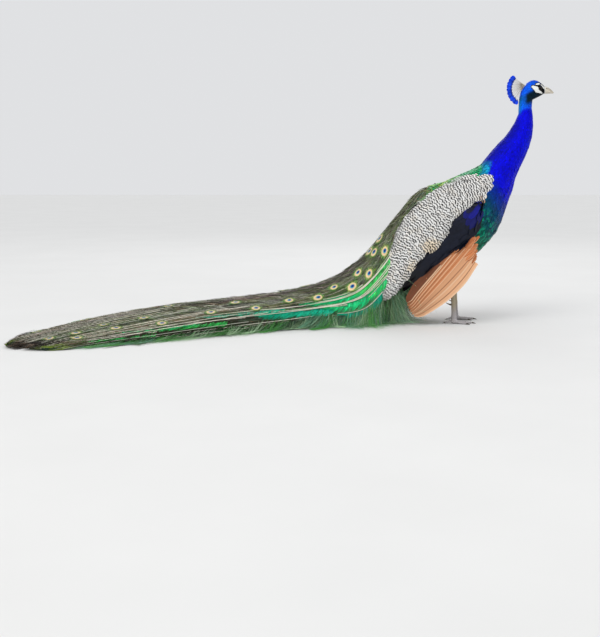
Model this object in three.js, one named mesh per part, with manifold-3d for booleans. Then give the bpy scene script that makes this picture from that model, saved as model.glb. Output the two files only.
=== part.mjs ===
// A still, life-size Indian peacock that stands with its body tilted up, its neck raised and its long
// train falling from the back to the floor, where it lies in a gentle sweep towards the bird's right.
// Millimetres, +Z up. The bird faces +X, and its right side is -Y. While it is being modelled, x = 0 is
// between the feet and z = 0 is the floor; the last lines move the origin to the bottom centre of its box.

import * as THREE from "three";
import { mergeVertices } from "three/addons/utils/BufferGeometryUtils.js";
import Module from "manifold-3d";

const wasm = await Module();
wasm.setup();

// ---------------------------------------------------------------- driving dimensions
const GAP = 0.35; // clear space between neighbouring solids
const RIGHT = -1; // sign of y on the bird's right side
const LEFT = 1;

const EYE = { x: 263.3, z: 762, out: 13.2, radius: 6.2 };
// The plane where horn meets the feathered face, and the gape that falls gently towards the bill's tip.
const BILL_BASE = { at: [279, 760], faces: [1, 0.12] };
const GAPE = { at: [280, 751.2], faces: [0.13, 1] };
// The crest fans out from a low knob, from its first feather's angle to its last one's, which is the longest.
const CREST = { x: 217, z: 772.5, knob: [5.5, 5.5, 6.5], feathers: 9, first: 148, last: 243, sideways: 7 };
const CREST_LENGTH = { shortest: 46, longest: 62 };

const FOOT = { right: -5, left: 14, apart: 46 }; // x of each foot, and y of both
const ANKLE_Z = 152;
const SHANK_TOP_Z = ANKLE_Z + 6; // where the bare shank meets the feathered thigh
const FOOT_TOP_Z = 17; // where the shank meets the foot's pad
const TOES = [
  // heading from straight ahead (positive turns outwards), length without claw, root radius
  { name: "inner", heading: -27, length: 44, radius: 5.6 },
  { name: "middle", heading: 3, length: 60, radius: 6 },
  { name: "outer", heading: 33, length: 46, radius: 5.4 },
  { name: "hind", heading: 188, length: 27, radius: 4.8 },
];
const CLAW = { length: 13, radius: 2.9 };
const SPUR = { length: 19, radius: 4.2, z: 62 };

const SWEEP = { from: -250, length: 1250, turn: THREE.MathUtils.degToRad(54) }; // bend of the train in plan
// The gaps between the train's loose ends: the outer ones are deeper, and every other one is deeper still.
const FRINGE = { gaps: 8, spread: 104, root: -1290, end: -1560, mouth: 26, arch: 190, stagger: 55 };

// Colours, roughness and metalness of the materials.
const FINISH = {
  cobalt: [0x0a2fc4, 0.38, 0.25],
  deepBlue: [0x071fa0, 0.4, 0.25],
  teal: [0x0c5a5e, 0.45, 0.25],
  gold: [0x6fae3c, 0.45, 0.25],
  barred: [0xcfccc4, 0.7, 0],
  inkBlue: [0x101c33, 0.5, 0.05],
  cinnamon: [0xd2915f, 0.65, 0],
  bronze: [0x5c6138, 0.6, 0.15],
  emerald: [0x1f9d6a, 0.5, 0.2],
  tailGrey: [0x6b5a48, 0.75, 0],
  fawn: [0xb9a489, 0.8, 0],
  shank: [0xa89e91, 0.7, 0],
  horn: [0xc9c3b4, 0.45, 0],
  claw: [0x4b443c, 0.45, 0],
  eye: [0x2a160b, 0.08, 0],
  crest: [0x2465c8, 0.5, 0.2],
};

// ---------------------------------------------------------------- solids
const across = new THREE.Vector3(0, 1, 0);

/** A closed manifold solid of a three.js geometry. */
function solidOf(geometry) {
  const bare = geometry.index ? geometry.toNonIndexed() : geometry.clone();
  bare.deleteAttribute("normal");
  bare.deleteAttribute("uv");
  const merged = mergeVertices(bare, 1e-3);
  const corners = merged.index.array;
  const triangles = [];
  for (let i = 0; i < corners.length; i += 3) {
    const [a, b, c] = corners.subarray(i, i + 3);
    if (a !== b && b !== c && c !== a) triangles.push(a, b, c);
  }
  const make = (order) =>
    new wasm.Manifold(
      new wasm.Mesh({ numProp: 3, vertProperties: merged.attributes.position.array, triVerts: new Uint32Array(order) }),
    );
  const solid = make(triangles);
  return solid.volume() > 0 ? solid : make(triangles.reverse());
}

/** A tube skinned over place(t, angle, radius): t runs 0..1 along it, and radius is 0 at its end caps' middles. */
function loft(sides, steps, place) {
  const tube = new THREE.CylinderGeometry(1, 1, 1, sides, steps);
  const point = tube.getAttribute("position");
  for (let i = 0; i < point.count; i++) {
    const radius = Math.round(Math.hypot(point.getX(i), point.getZ(i)));
    const p = place(point.getY(i) + 0.5, Math.atan2(point.getX(i), point.getZ(i)), radius);
    point.setXYZ(i, p.x, p.y, p.z);
  }
  return solidOf(tube);
}

const curve = (points) => new THREE.CatmullRomCurve3(points, false, "centripetal");

/** Stations of [back x, back z, belly x, belly z, half width] as a pair of curves. */
function outline(stations) {
  return {
    back: curve(stations.map(([x, z, , , w]) => new THREE.Vector3(x, w, z))),
    belly: curve(stations.map(([, , x, z, w]) => new THREE.Vector3(x, w, z))),
  };
}

/** A solid that is symmetric about the middle plane, with that outline. grow makes it fatter all round. */
function torso(shape, sides, steps, grow = 0) {
  return loft(sides, steps, (t, angle, radius) => {
    const back = shape.back.getPoint(t);
    const belly = shape.belly.getPoint(t);
    const halfWidth = (back.y + belly.y) / 2 + grow;
    back.y = belly.y = 0;
    const middle = back.clone().add(belly).multiplyScalar(0.5);
    const up = back.sub(belly).multiplyScalar(0.5);
    up.setLength(up.length() + grow);
    return middle
      .addScaledVector(up, Math.cos(angle) * radius)
      .addScaledVector(across, Math.sin(angle) * halfWidth * radius);
  });
}

/** A round limb through stations of [x, y, z, radius fore and aft, radius sideways]. */
function limb(stations, sides, steps, grow = 0) {
  const spine = curve(stations.map(([x, y, z]) => new THREE.Vector3(x, y, z)));
  const radii = curve(stations.map(([, , , a, b]) => new THREE.Vector3(a, b, 0)));
  return loft(sides, steps, (t, angle, radius) => {
    const heading = spine.getTangent(t);
    const side = Math.abs(heading.z) > 0.7 ? across.clone() : new THREE.Vector3(-heading.y, heading.x, 0).normalize();
    const other = new THREE.Vector3().crossVectors(heading, side).normalize();
    const size = radii.getPoint(t);
    return spine
      .getPoint(t)
      .addScaledVector(other, Math.cos(angle) * radius * (size.x + grow))
      .addScaledVector(side, Math.sin(angle) * radius * (size.y + grow));
  });
}

/** A feathered plate on one flank: stations of [upper x, z, y, lower x, z, y, bulge]; inner is its depth inwards. */
function flankPlate(stations, side, sides, steps, inner, grow = 0) {
  const upper = curve(stations.map(([x, z, y]) => new THREE.Vector3(x, y * side, z)));
  const lower = curve(stations.map(([, , , x, z, y]) => new THREE.Vector3(x, y * side, z)));
  const bulges = curve(stations.map((s, i) => new THREE.Vector3(s[6], i, 0)));
  return loft(sides, steps, (t, angle, radius) => {
    const top = upper.getPoint(t);
    const bottom = lower.getPoint(t);
    const middle = top.clone().add(bottom).multiplyScalar(0.5);
    const chord = top.sub(bottom).multiplyScalar(0.5);
    const out = new THREE.Vector3().crossVectors(upper.getTangent(t), chord).normalize();
    if (out.y * side < 0) out.negate();
    const depth = Math.sin(angle) > 0 ? bulges.getPoint(t).x : inner;
    chord.setLength(chord.length() + grow);
    return middle
      .addScaledVector(chord, Math.cos(angle) * radius)
      .addScaledVector(out, Math.sin(angle) * radius * (depth + grow));
  });
}

/** Splits a solid at the plane through a point, leaving the clear gap: [the part ahead of it, the part behind]. */
function part(solid, [x, z], [nx, nz], gap = GAP) {
  const normal = new THREE.Vector3(nx, 0, nz).normalize();
  const offset = normal.x * x + normal.z * z;
  const n = [normal.x, 0, normal.z];
  return [
    solid.trimByPlane(n, offset + gap / 2),
    solid.trimByPlane(n.map((c) => -c), -offset + gap / 2),
  ];
}

const onFloor = (solid) => solid.trimByPlane([0, 0, 1], 0);
const subtractAll = (solid, others) => others.reduce((left, other) => left.subtract(other), solid);

/** The biggest of a solid's separate bodies: a cut by a neighbour can leave a sliver beside it. */
function largest(solid) {
  return solid.decompose().reduce((most, body) => (body.volume() > most.volume() ? body : most));
}

// ---------------------------------------------------------------- head, neck and trunk
const NECK_AND_TRUNK = outline([
  [212, 766, 244, 756, 12], // inside the head
  [202, 748, 244, 732, 19],
  [198.5, 712, 240.8, 706, 20.5],
  [197.6, 677.7, 245.7, 672.3, 22.5],
  [179, 641, 247.3, 623.7, 28],
  [156.6, 608, 236.8, 575, 34],
  [129.3, 580.5, 219.2, 530.6, 41],
  [101.8, 547.3, 197, 483, 49],
  [77, 517, 185, 432, 59],
  [48, 502, 170, 391.5, 73],
  [6.8, 484, 154, 337.5, 87],
  [-38, 464, 132, 291.6, 95],
  [-84, 440, 97, 251, 97],
  [-124, 402, 54, 211, 95],
  [-160, 345, 0, 184, 88],
  [-198, 293, -59, 170, 76],
  [-232, 246, -113, 165, 58],
  [-256, 208, -165, 160, 38],
  [-262, 180, -215, 158, 14],
]);
const TRUNK_SIDES = 16;
const TRUNK_STEPS = 25;
const trunkSolid = (grow = 0) => torso(NECK_AND_TRUNK, TRUNK_SIDES, TRUNK_STEPS, grow);

// Stations run from the back of the head to the bill, and the rings stand upright.
const HEAD = outline([
  [211, 760, 211, 754, 4],
  [216, 772, 214, 741, 13],
  [227, 783, 226, 729, 18.5],
  [240, 789.3, 240, 725.5, 20.5],
  [252, 789, 253, 731, 20],
  [263, 784, 264, 736.5, 18],
  [272, 777, 272, 741, 14],
  [281, 769.5, 280, 746.5, 9.4],
  [284, 764, 284, 751, 5],
]);

function eyeSolid(side, grow = 0) {
  const ball = new THREE.SphereGeometry(EYE.radius + grow, 12, 6);
  return solidOf(ball.translate(EYE.x, side * EYE.out, EYE.z));
}

/** The bill's two halves, split along a gently falling gape. */
function billSolids() {
  const whole = torso(
    outline([
      [272, 775, 272, 745.2, 9.6],
      [281, 769.7, 280, 745, 9],
      [288, 767.8, 287, 745, 7.6],
      [298, 763, 296, 745.6, 5.6],
      [306.5, 755.8, 304, 746.2, 3.5],
      [311.3, 749.8, 310, 745.8, 1.7],
      [312, 746.4, 311.4, 744.8, 0.6],
    ]),
    8,
    7,
  );
  const [horn] = part(whole, BILL_BASE.at, BILL_BASE.faces);
  const [upper, lower] = part(horn, GAPE.at, GAPE.faces);
  return { upper, lower };
}

// Each crest feather's half width at six shares of its length: a bare shaft, then the paddle.
const CREST_FEATHER = [
  [0, 0.55],
  [0.4, 0.55],
  [0.78, 0.6],
  [0.86, 2.8],
  [0.95, 3.3],
  [1, 1.4],
];

function knobSolid(grow = 0) {
  const radii = CREST.knob.map((radius) => radius + grow);
  return solidOf(new THREE.SphereGeometry(1, 8, 6).scale(...radii).translate(CREST.x, 0, CREST.z));
}

/** A fan of bare shafts that droop a little and end in paddles, held together by a low knob on the crown. */
function crestSolid() {
  const { x, z, feathers, first, last, sideways } = CREST;
  let fan = knobSolid();
  for (let i = 0; i < feathers; i++) {
    const share = i / (feathers - 1);
    const reach = THREE.MathUtils.lerp(CREST_LENGTH.shortest, CREST_LENGTH.longest, share);
    const swing = Math.sin(i * 2.4) * sideways;
    const ray = (degrees, length, y) => {
      const angle = THREE.MathUtils.degToRad(degrees);
      return new THREE.Vector3(x + length * Math.cos(angle), y, z + length * Math.sin(angle));
    };
    const bend = ray(THREE.MathUtils.lerp(first + 4, last - 40, share), reach * 0.55, swing * 0.4);
    const spine = new THREE.QuadraticBezierCurve3(
      ray(THREE.MathUtils.lerp(first, last - 30, share), 4, 0),
      bend,
      ray(THREE.MathUtils.lerp(first, last, share), reach, swing),
    );
    const side = new THREE.Vector3().crossVectors(spine.getTangent(1), across).normalize();
    const vane = loft(4, 5, (t, angle, radius) => {
      const [s, wide] = CREST_FEATHER[Math.round(t * 5)];
      return spine
        .getPoint(s)
        .addScaledVector(side, Math.cos(angle) * radius * wide)
        .addScaledVector(across, Math.sin(angle) * radius * 0.6);
    });
    fan = fan.add(vane);
  }
  return fan;
}

// ---------------------------------------------------------------- wings
const SHIELD = [
  [113, 471, 55, 112, 462, 58, 3],
  [89, 477.5, 52, 96.4, 431.5, 72, 8],
  [48, 477, 50, 70, 394, 93, 13],
  [0, 470, 49, 27, 378, 105, 17],
  [-55, 450, 50, -24, 340, 109, 19],
  [-97, 428, 52, -35, 300, 110, 19],
  [-145, 386, 54, -70, 248, 108, 18],
  [-193, 318, 60, -124, 211, 104, 15],
  [-224, 234, 70, -165, 148.5, 101, 12],
  [-247, 168, 80, -202.5, 105, 98, 9],
  [-253, 122, 86, -230, 86, 94, 6],
  [-247, 92, 89, -240, 84, 92, 2],
];
const BAND = [
  [67.5, 404, 94, 78, 383, 93, 3],
  [40, 400, 98, 67.5, 337.5, 96, 8],
  [8, 385, 100, 48.6, 283.5, 97, 10],
  [-32, 345, 101, 8, 254, 98, 10],
  [-59, 288, 101, -38, 221, 98, 9],
  [-100, 250, 100, -86, 181, 97, 8],
  [-140, 206, 98, -132, 148, 95, 7],
  [-175.5, 152, 95, -167, 121.5, 93, 5],
  [-187, 118, 92, -184, 104, 91, 2],
];
const QUILLS = [
  [40, 292, 93, 56, 281, 92, 2],
  [8, 270, 94, 54, 226, 91, 6],
  [-30, 238, 94, 44, 180, 90, 7],
  [-65, 205, 93, 22, 143, 89, 7],
  [-100, 170, 92, -20, 101, 88, 7],
  [-135, 130, 91, -70, 67, 87, 6],
  [-158, 92, 90, -110, 46, 86, 5],
  [-163, 62, 88, -134, 35, 85, 4],
  [-154, 42, 86, -143, 33, 85, 1.5],
];
const shieldSolid = (side, grow) => flankPlate(SHIELD, side, 10, 11, 26, grow);
const bandSolid = (side, grow) => flankPlate(BAND, side, 8, 9, 14, grow);
const quillSolid = (side, grow) => flankPlate(QUILLS, side, 8, 8, 5, grow);

// ---------------------------------------------------------------- tail and train
/** Bends a point of the straight train round in plan, towards the bird's right. */
function swept(p) {
  const s = SWEEP.from - p.x;
  if (s <= 0) return p;
  const rate = SWEEP.turn / SWEEP.length;
  const turned = rate * s;
  return new THREE.Vector3(
    SWEEP.from - Math.sin(turned) / rate - p.y * Math.sin(turned),
    RIGHT * ((1 - Math.cos(turned)) / rate) + p.y * Math.cos(turned),
    p.z,
  );
}

// Stations of [top x, top z, under x, under z, half width] before the sweep. Below the floor it is cut off.
const TRAIN = [
  [-58, 459, -46, 436, 20],
  [-88, 449, -64, 412, 44],
  [-134, 417, -90, 372, 54],
  [-178, 364, -120, 300, 60],
  [-222, 309, -150, 220, 70],
  [-260, 261, -180, 130, 84],
  [-303, 214, -222, 60, 98],
  [-354, 172, -280, 0, 108],
  [-412, 139, -362, -14, 118],
  [-485, 116, -460, -12, 132],
  [-600, 96, -592, -10, 152],
  [-750, 82, -748, -9, 172],
  [-920, 68, -920, -8, 188],
  [-1080, 52, -1080, -7, 184],
  [-1200, 39, -1200, -6, 168],
  [-1310, 27, -1310, -6, 140],
  [-1400, 18, -1400, -5, 104],
  [-1465, 11, -1465, -5, 64],
  [-1495, 8, -1495, -5, 34],
];
const TRAIN_SHAPE = outline(TRAIN);

/** The train's bundle of feathers as one domed solid, with a flat underside where it lies on the floor. */
function trainSolid() {
  return loft(14, 22, (t, angle, radius) => {
    const top = TRAIN_SHAPE.back.getPoint(t);
    const under = TRAIN_SHAPE.belly.getPoint(t);
    const halfWidth = (top.y + under.y) / 2;
    top.y = under.y = 0;
    const rise = top.clone().sub(under);
    const lift = Math.cos(angle);
    const height = lift > 0 ? Math.pow(lift, 0.9) : lift * 0.6;
    const p = under
      .clone()
      .addScaledVector(rise, 0.38 + 0.62 * height * radius)
      .addScaledVector(across, Math.sin(angle) * halfWidth * radius);
    return swept(p);
  });
}

/** The wedges between the train's loose ends: tall, narrow, and of two depths in turn. */
function fringeGaps() {
  const { gaps, spread, root, end, mouth, arch, stagger } = FRINGE;
  return Array.from({ length: gaps }, (_, i) => {
    const share = (2 * i) / (gaps - 1) - 1;
    const apex = root + arch * share * share - (i % 2) * stagger;
    const [y, endY] = [spread * share, spread * share * 0.85];
    const wedge = new THREE.Shape([
      new THREE.Vector2(apex, y),
      new THREE.Vector2(end, endY + mouth / 2),
      new THREE.Vector2(end, endY - mouth / 2),
    ]);
    const prism = new THREE.ExtrudeGeometry(wedge, { depth: 90, bevelEnabled: false }).translate(0, 0, -20);
    const point = prism.getAttribute("position");
    for (let j = 0; j < point.count; j++) {
      const p = swept(new THREE.Vector3().fromBufferAttribute(point, j));
      point.setXYZ(j, p.x, p.y, p.z);
    }
    return solidOf(prism);
  });
}

// The stiff true tail under the train, bending where it reaches the floor.
const TAIL = [
  [-215, 186, -200, 164, 34],
  [-262, 142, -246, 126, 44],
  [-318, 92, -303, 78, 52],
  [-375, 54, -364, 41, 60],
  [-440, 30, -434, 17, 68],
  [-510, 18, -508, 4, 76],
  [-580, 12, -580, -3, 80],
  [-640, 7, -640, -4, 66],
];
const tailSolid = (grow = 0) => {
  const shape = outline(TAIL);
  const solid = loft(8, 8, (t, angle, radius) => {
    const top = shape.back.getPoint(t);
    const under = shape.belly.getPoint(t);
    const halfWidth = (top.y + under.y) / 2 + grow;
    top.y = under.y = 0;
    const middle = top.clone().add(under).multiplyScalar(0.5);
    const up = top.sub(under).multiplyScalar(0.5);
    up.setLength(up.length() + grow);
    const arch = -4 * Math.sin(angle) ** 2; // a low arch from side to side
    return swept(
      middle
        .addScaledVector(up, Math.cos(angle) * radius)
        .addScaledVector(across, Math.sin(angle) * halfWidth * radius)
        .add(new THREE.Vector3((t === 0 ? grow : 0) - (t === 1 ? grow : 0), 0, arch * radius)),
    );
  });
  return onFloor(solid);
};

/** The hollow under the hanging part of the train, open to the front and below. */
function tunnelSolid() {
  return torso(
    outline([
      [-150, 210, -60, 60, 60],
      [-215, 196, -150, -30, 72],
      [-262, 158, -205, -60, 76],
      [-318, 106, -270, -60, 76],
      [-372, 60, -330, -60, 74],
      [-420, 26, -400, -60, 66],
      [-455, 6, -440, -60, 50],
    ]),
    8,
    7,
  );
}

// ---------------------------------------------------------------- legs
const footX = (side) => (side === RIGHT ? FOOT.right : FOOT.left);

const thighStations = (side) => [
  [footX(side) + 34, side * 46, 262, 30, 26],
  [footX(side) + 22, side * 50, 232, 38, 30],
  [footX(side) + 4, side * 49, 200, 30, 25],
  [footX(side) - 8, side * 47, 175, 18, 16],
  [footX(side) - 11, side * FOOT.apart, ANKLE_Z + 4, 11.5, 11],
];
const shankStations = (side) => [
  [footX(side) - 12, side * FOOT.apart, ANKLE_Z + 8, 8.5, 8],
  [footX(side) - 11, side * FOOT.apart, ANKLE_Z - 3, 10.5, 9],
  [footX(side) - 8, side * FOOT.apart, ANKLE_Z - 20, 8.4, 7],
  [footX(side) - 4, side * FOOT.apart, 96, 7.6, 6.2],
  [footX(side) - 1, side * FOOT.apart, 58, 7.4, 6],
  [footX(side), side * FOOT.apart, 30, 8.2, 7],
  [footX(side) + 1, side * FOOT.apart, 14, 10, 9],
];

/** A toe's stations from the foot's pad outwards, with a knuckle swelling every third of its length. */
function toeStations(toe, side, from = 0, to = 1, steps = 7) {
  const heading = THREE.MathUtils.degToRad(toe.heading) * side;
  const hind = toe.name === "hind";
  return Array.from({ length: steps }, (_, i) => {
    const share = THREE.MathUtils.lerp(from, to, i / (steps - 1));
    const reach = toe.length * share;
    const swelling = 1 + 0.11 * Math.cos(share * Math.PI * 6);
    const radius = toe.radius * (1 - 0.34 * share) * swelling;
    const rootLift = hind ? 9 * (1 - share) : 3.5 * (1 - share) ** 2;
    return [
      footX(side) + reach * Math.cos(heading),
      side * FOOT.apart + reach * Math.sin(heading),
      radius * 0.78 + rootLift,
      radius * 0.92,
      radius,
    ];
  });
}

function footSolid(side) {
  const pad = new THREE.SphereGeometry(1, 7, 5).scale(12.5, 11.5, 10);
  let foot = solidOf(pad.translate(footX(side) + 1, side * FOOT.apart, 8.5));
  for (const toe of TOES) foot = foot.add(limb(toeStations(toe, side, 0.1), 6, 4));
  return onFloor(foot);
}

/** A curved claw that leaves the end of its toe and comes down to the floor. */
function clawSolid(toe, side) {
  const heading = THREE.MathUtils.degToRad(toe.heading) * side;
  const [x, y, z] = toeStations(toe, side).at(-1);
  const size = toe.name === "hind" ? 0.8 : 1;
  const stations = [0, 0.35, 0.7, 1].map((share) => {
    const reach = CLAW.length * size * share;
    const drop = (z - 0.4) * share ** 1.6;
    const radius = CLAW.radius * size * (1 - 0.8 * share);
    return [x + reach * Math.cos(heading), y + reach * Math.sin(heading), z - drop, radius, radius * 0.85];
  });
  return onFloor(limb(stations, 5, 3));
}

/** The room that a claw leaves in the end of its toe. */
function clawRoom(toe, side) {
  const heading = THREE.MathUtils.degToRad(toe.heading) * side;
  const [x, y, z] = toeStations(toe, side).at(-1);
  const room = new THREE.BoxGeometry(30, 30, 30).translate(15 - GAP, 0, 0).rotateZ(heading);
  return solidOf(room.translate(x, y, z));
}

function spurSolid(side) {
  const stations = [0, 0.4, 0.75, 1].map((share) => [
    footX(side) - 7 - SPUR.length * share,
    side * (FOOT.apart - 3 - 4 * share),
    SPUR.z + 7 * share ** 2,
    SPUR.radius * (1 - 0.86 * share),
    SPUR.radius * (1 - 0.86 * share),
  ]);
  return limb(stations, 5, 3);
}

// ---------------------------------------------------------------- assembly
const bird = new THREE.Group();

function add(name, solid, finish) {
  const { vertProperties, triVerts, numProp } = solid.getMesh();
  const points = new Float32Array((vertProperties.length / numProp) * 3);
  for (let i = 0; i < points.length / 3; i++)
    points.set(vertProperties.subarray(i * numProp, i * numProp + 3), i * 3);
  const geometry = new THREE.BufferGeometry();
  geometry.setAttribute("position", new THREE.BufferAttribute(points, 3));
  geometry.setIndex(new THREE.BufferAttribute(triVerts, 1));
  geometry.computeVertexNormals();
  const [color, roughness, metalness] = FINISH[finish];
  const mesh = new THREE.Mesh(geometry, new THREE.MeshStandardMaterial({ color, roughness, metalness }));
  mesh.name = name;
  bird.add(mesh);
}

function addLeg(name, side) {
  const [, shank] = part(limb(shankStations(side), 8, 6), [0, SHANK_TOP_Z], [0, 1]);
  const [shankAbove] = part(shank, [0, FOOT_TOP_Z], [0, 1]);
  const [, clearOfShank] = part(footSolid(side), [0, FOOT_TOP_Z], [0, 1]);
  add("shank_" + name, shankAbove, "shank");
  const claws = TOES.map((toe) => [toe, clawSolid(toe, side)]);
  const cutFoot = claws.reduce((left, [toe]) => left.subtract(clawRoom(toe, side)), clearOfShank);
  add("foot_" + name, largest(cutFoot), "shank");
  for (const [toe, claw] of claws) add("claw_" + toe.name + "_" + name, claw, "claw");
  const spur = spurSolid(side).subtract(limb(shankStations(side), 8, 6, GAP));
  add("spur_" + name, largest(spur), "claw");
}

const bill = billSolids();
const flesh = trunkSolid().add(torso(HEAD, 12, 9));
const eyes = { right: eyeSolid(RIGHT), left: eyeSolid(LEFT) };
const withoutFace = subtractAll(flesh, [eyeSolid(RIGHT, GAP), eyeSolid(LEFT, GAP)]);

// From the head down, each cut plane is square to the spine there.
const [headAndNape, belowHead] = part(withoutFace, [222, 726], [-0.22, 1]);
const [neckUpper, belowNeckUpper] = part(belowHead, [201, 600], [0.36, 0.93]);
const [neckLower, torsoRest] = part(belowNeckUpper, [131, 474.5], [0.62, 0.79]);
const [breast, rump] = part(torsoRest, [-35, 306], [0.79, 0.61]);

const [, headBehindBill] = part(headAndNape, BILL_BASE.at, BILL_BASE.faces);
add("head", headBehindBill.subtract(knobSolid(1.4 * GAP)), "cobalt");
add("crest", crestSolid(), "crest");
add("bill_upper", bill.upper, "horn");
add("bill_lower", bill.lower, "horn");
add("eye_right", eyes.right, "eye");
add("eye_left", eyes.left, "eye");
add("neck_upper", neckUpper, "cobalt");
add("neck_lower", neckLower, "deepBlue");

const trunkRoom = trunkSolid(GAP);
const tailRoom = tailSolid(5 * GAP);
const tail = tailSolid().subtract(trunkRoom);
const sides = [
  ["right", RIGHT],
  ["left", LEFT],
];
const wingRooms = [];
add("breast", breast, "teal");
add("rump", rump, "gold");
for (const [name, side] of sides) {
  const thigh = limb(thighStations(side), 9, 6).subtract(trunkRoom);
  const [thighAbove] = part(thigh, [0, SHANK_TOP_Z], [0, 1]);
  add("thigh_" + name, thighAbove, "fawn");
  const quills = quillSolid(side, 0).subtract(trunkRoom);
  const quillRoom = quillSolid(side, GAP);
  const band = subtractAll(bandSolid(side, 0), [trunkRoom, quillRoom]);
  const bandRoom = bandSolid(side, GAP);
  const shield = subtractAll(shieldSolid(side, 0), [trunkRoom, quillRoom, bandRoom]);
  wingRooms.push(quillRoom, bandRoom, shieldSolid(side, GAP));
  for (const [piece, solid, finish] of [
    ["wing_shield_", shield, "barred"],
    ["wing_band_", band, "inkBlue"],
    ["wing_quills_", quills, "cinnamon"],
  ])
    add(piece + name, largest(solid), finish);
  addLeg(name, side);
}

const train = subtractAll(trainSolid(), [trunkRoom, tunnelSolid(), tailRoom, ...wingRooms]);
const bundle = largest(onFloor(subtractAll(largest(train), fringeGaps())));
const trainCuts = [
  [[-262, 200], [0.75, 0.66]],
  [[-675, 50], [1, 0.05]],
  [[-1000, 50], [1, 0]],
];
let rest = bundle;
["train_root", "train_upper", "train_middle"].forEach((name, i) => {
  const [[x, z], [nx, nz]] = trainCuts[i];
  const at = swept(new THREE.Vector3(x, 0, z));
  const turned = Math.max(0, ((SWEEP.from - x) * SWEEP.turn) / SWEEP.length);
  const normal = new THREE.Vector3(nx, 0, nz).applyAxisAngle(new THREE.Vector3(0, 0, 1), turned).normalize();
  const n = normal.toArray();
  const offset = normal.dot(at);
  add(name, largest(rest.trimByPlane(n, offset + GAP / 2)), i ? "bronze" : "emerald");
  rest = rest.trimByPlane(n.map((c) => -c), -offset + GAP / 2);
});
add("train_end", largest(rest), "bronze");
add("tail", largest(tail), "tailGrey");

const box = new THREE.Box3().setFromObject(bird);
bird.position.set(-(box.min.x + box.max.x) / 2, -(box.min.y + box.max.y) / 2, -box.min.z);
const root = new THREE.Group();
root.add(bird);

export default root;
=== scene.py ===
"""The looks of a life-size Indian peacock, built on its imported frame.

Metres, +Z up. The bird faces +X and its right side is -Y. Shapes are worked out from the point on the floor
between its feet, and moved into the frame by FEET as each mesh is made.
"""
import math

import bmesh
import bpy
import numpy as np
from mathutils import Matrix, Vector
from mathutils.bvhtree import BVHTree
from mathutils.kdtree import KDTree


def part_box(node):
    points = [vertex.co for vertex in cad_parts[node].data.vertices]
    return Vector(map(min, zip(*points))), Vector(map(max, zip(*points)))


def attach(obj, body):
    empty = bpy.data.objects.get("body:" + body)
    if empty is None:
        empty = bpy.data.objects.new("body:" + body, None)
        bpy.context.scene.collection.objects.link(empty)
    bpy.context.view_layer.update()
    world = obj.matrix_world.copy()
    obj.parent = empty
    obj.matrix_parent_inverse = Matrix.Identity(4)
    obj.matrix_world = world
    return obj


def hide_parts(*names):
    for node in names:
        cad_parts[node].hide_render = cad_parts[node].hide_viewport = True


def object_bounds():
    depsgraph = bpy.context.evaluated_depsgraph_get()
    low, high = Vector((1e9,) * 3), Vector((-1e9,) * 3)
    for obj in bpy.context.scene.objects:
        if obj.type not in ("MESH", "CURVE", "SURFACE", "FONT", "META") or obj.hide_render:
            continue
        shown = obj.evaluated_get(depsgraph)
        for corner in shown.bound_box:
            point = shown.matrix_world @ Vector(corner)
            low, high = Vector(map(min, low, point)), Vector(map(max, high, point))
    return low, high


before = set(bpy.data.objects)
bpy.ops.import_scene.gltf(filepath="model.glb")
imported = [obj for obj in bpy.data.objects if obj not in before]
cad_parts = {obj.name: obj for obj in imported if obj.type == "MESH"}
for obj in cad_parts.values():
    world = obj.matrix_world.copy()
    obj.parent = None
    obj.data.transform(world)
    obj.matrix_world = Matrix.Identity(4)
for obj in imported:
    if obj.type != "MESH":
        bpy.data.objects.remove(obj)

CAD_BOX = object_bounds()

# -------------------- places and sizes
EYE = np.array([0.2633, 0.0132, 0.762])  # centre of the left eyeball, from between the feet
EYE_RADIUS = 0.0062
SIDES = (("right", -1), ("left", 1))

eye_low, eye_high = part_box("eye_right")
FEET = np.array((eye_low + eye_high) / 2) - EYE * (1, -1, 1)
FLOOR_CLEARANCE = 0.0006  # the lowest barbs lie this far above the floor

# The line down the middle of head, neck and trunk, as x and z.
SPINE = np.array([
    (0.300, 0.755), (0.262, 0.760), (0.235, 0.756), (0.222, 0.735), (0.219, 0.709), (0.221, 0.675),
    (0.213, 0.632), (0.197, 0.592), (0.174, 0.555), (0.149, 0.515), (0.131, 0.474), (0.109, 0.447),
    (0.080, 0.411), (0.047, 0.378), (0.006, 0.345), (-0.035, 0.306), (-0.080, 0.264), (-0.130, 0.231),
    (-0.173, 0.203), (-0.215, 0.180),
])

# The line down the middle of a closed wing's pale shield, as x and z, and its half width there.
SHIELD_LINE = np.array([
    (0.112, 0.467, 0.008), (0.090, 0.456, 0.026), (0.055, 0.438, 0.044), (0.012, 0.424, 0.050),
    (-0.040, 0.395, 0.058), (-0.066, 0.364, 0.070), (-0.108, 0.317, 0.078), (-0.158, 0.264, 0.064),
    (-0.195, 0.191, 0.050), (-0.225, 0.137, 0.036), (-0.241, 0.104, 0.022), (-0.244, 0.088, 0.008),
])

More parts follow.
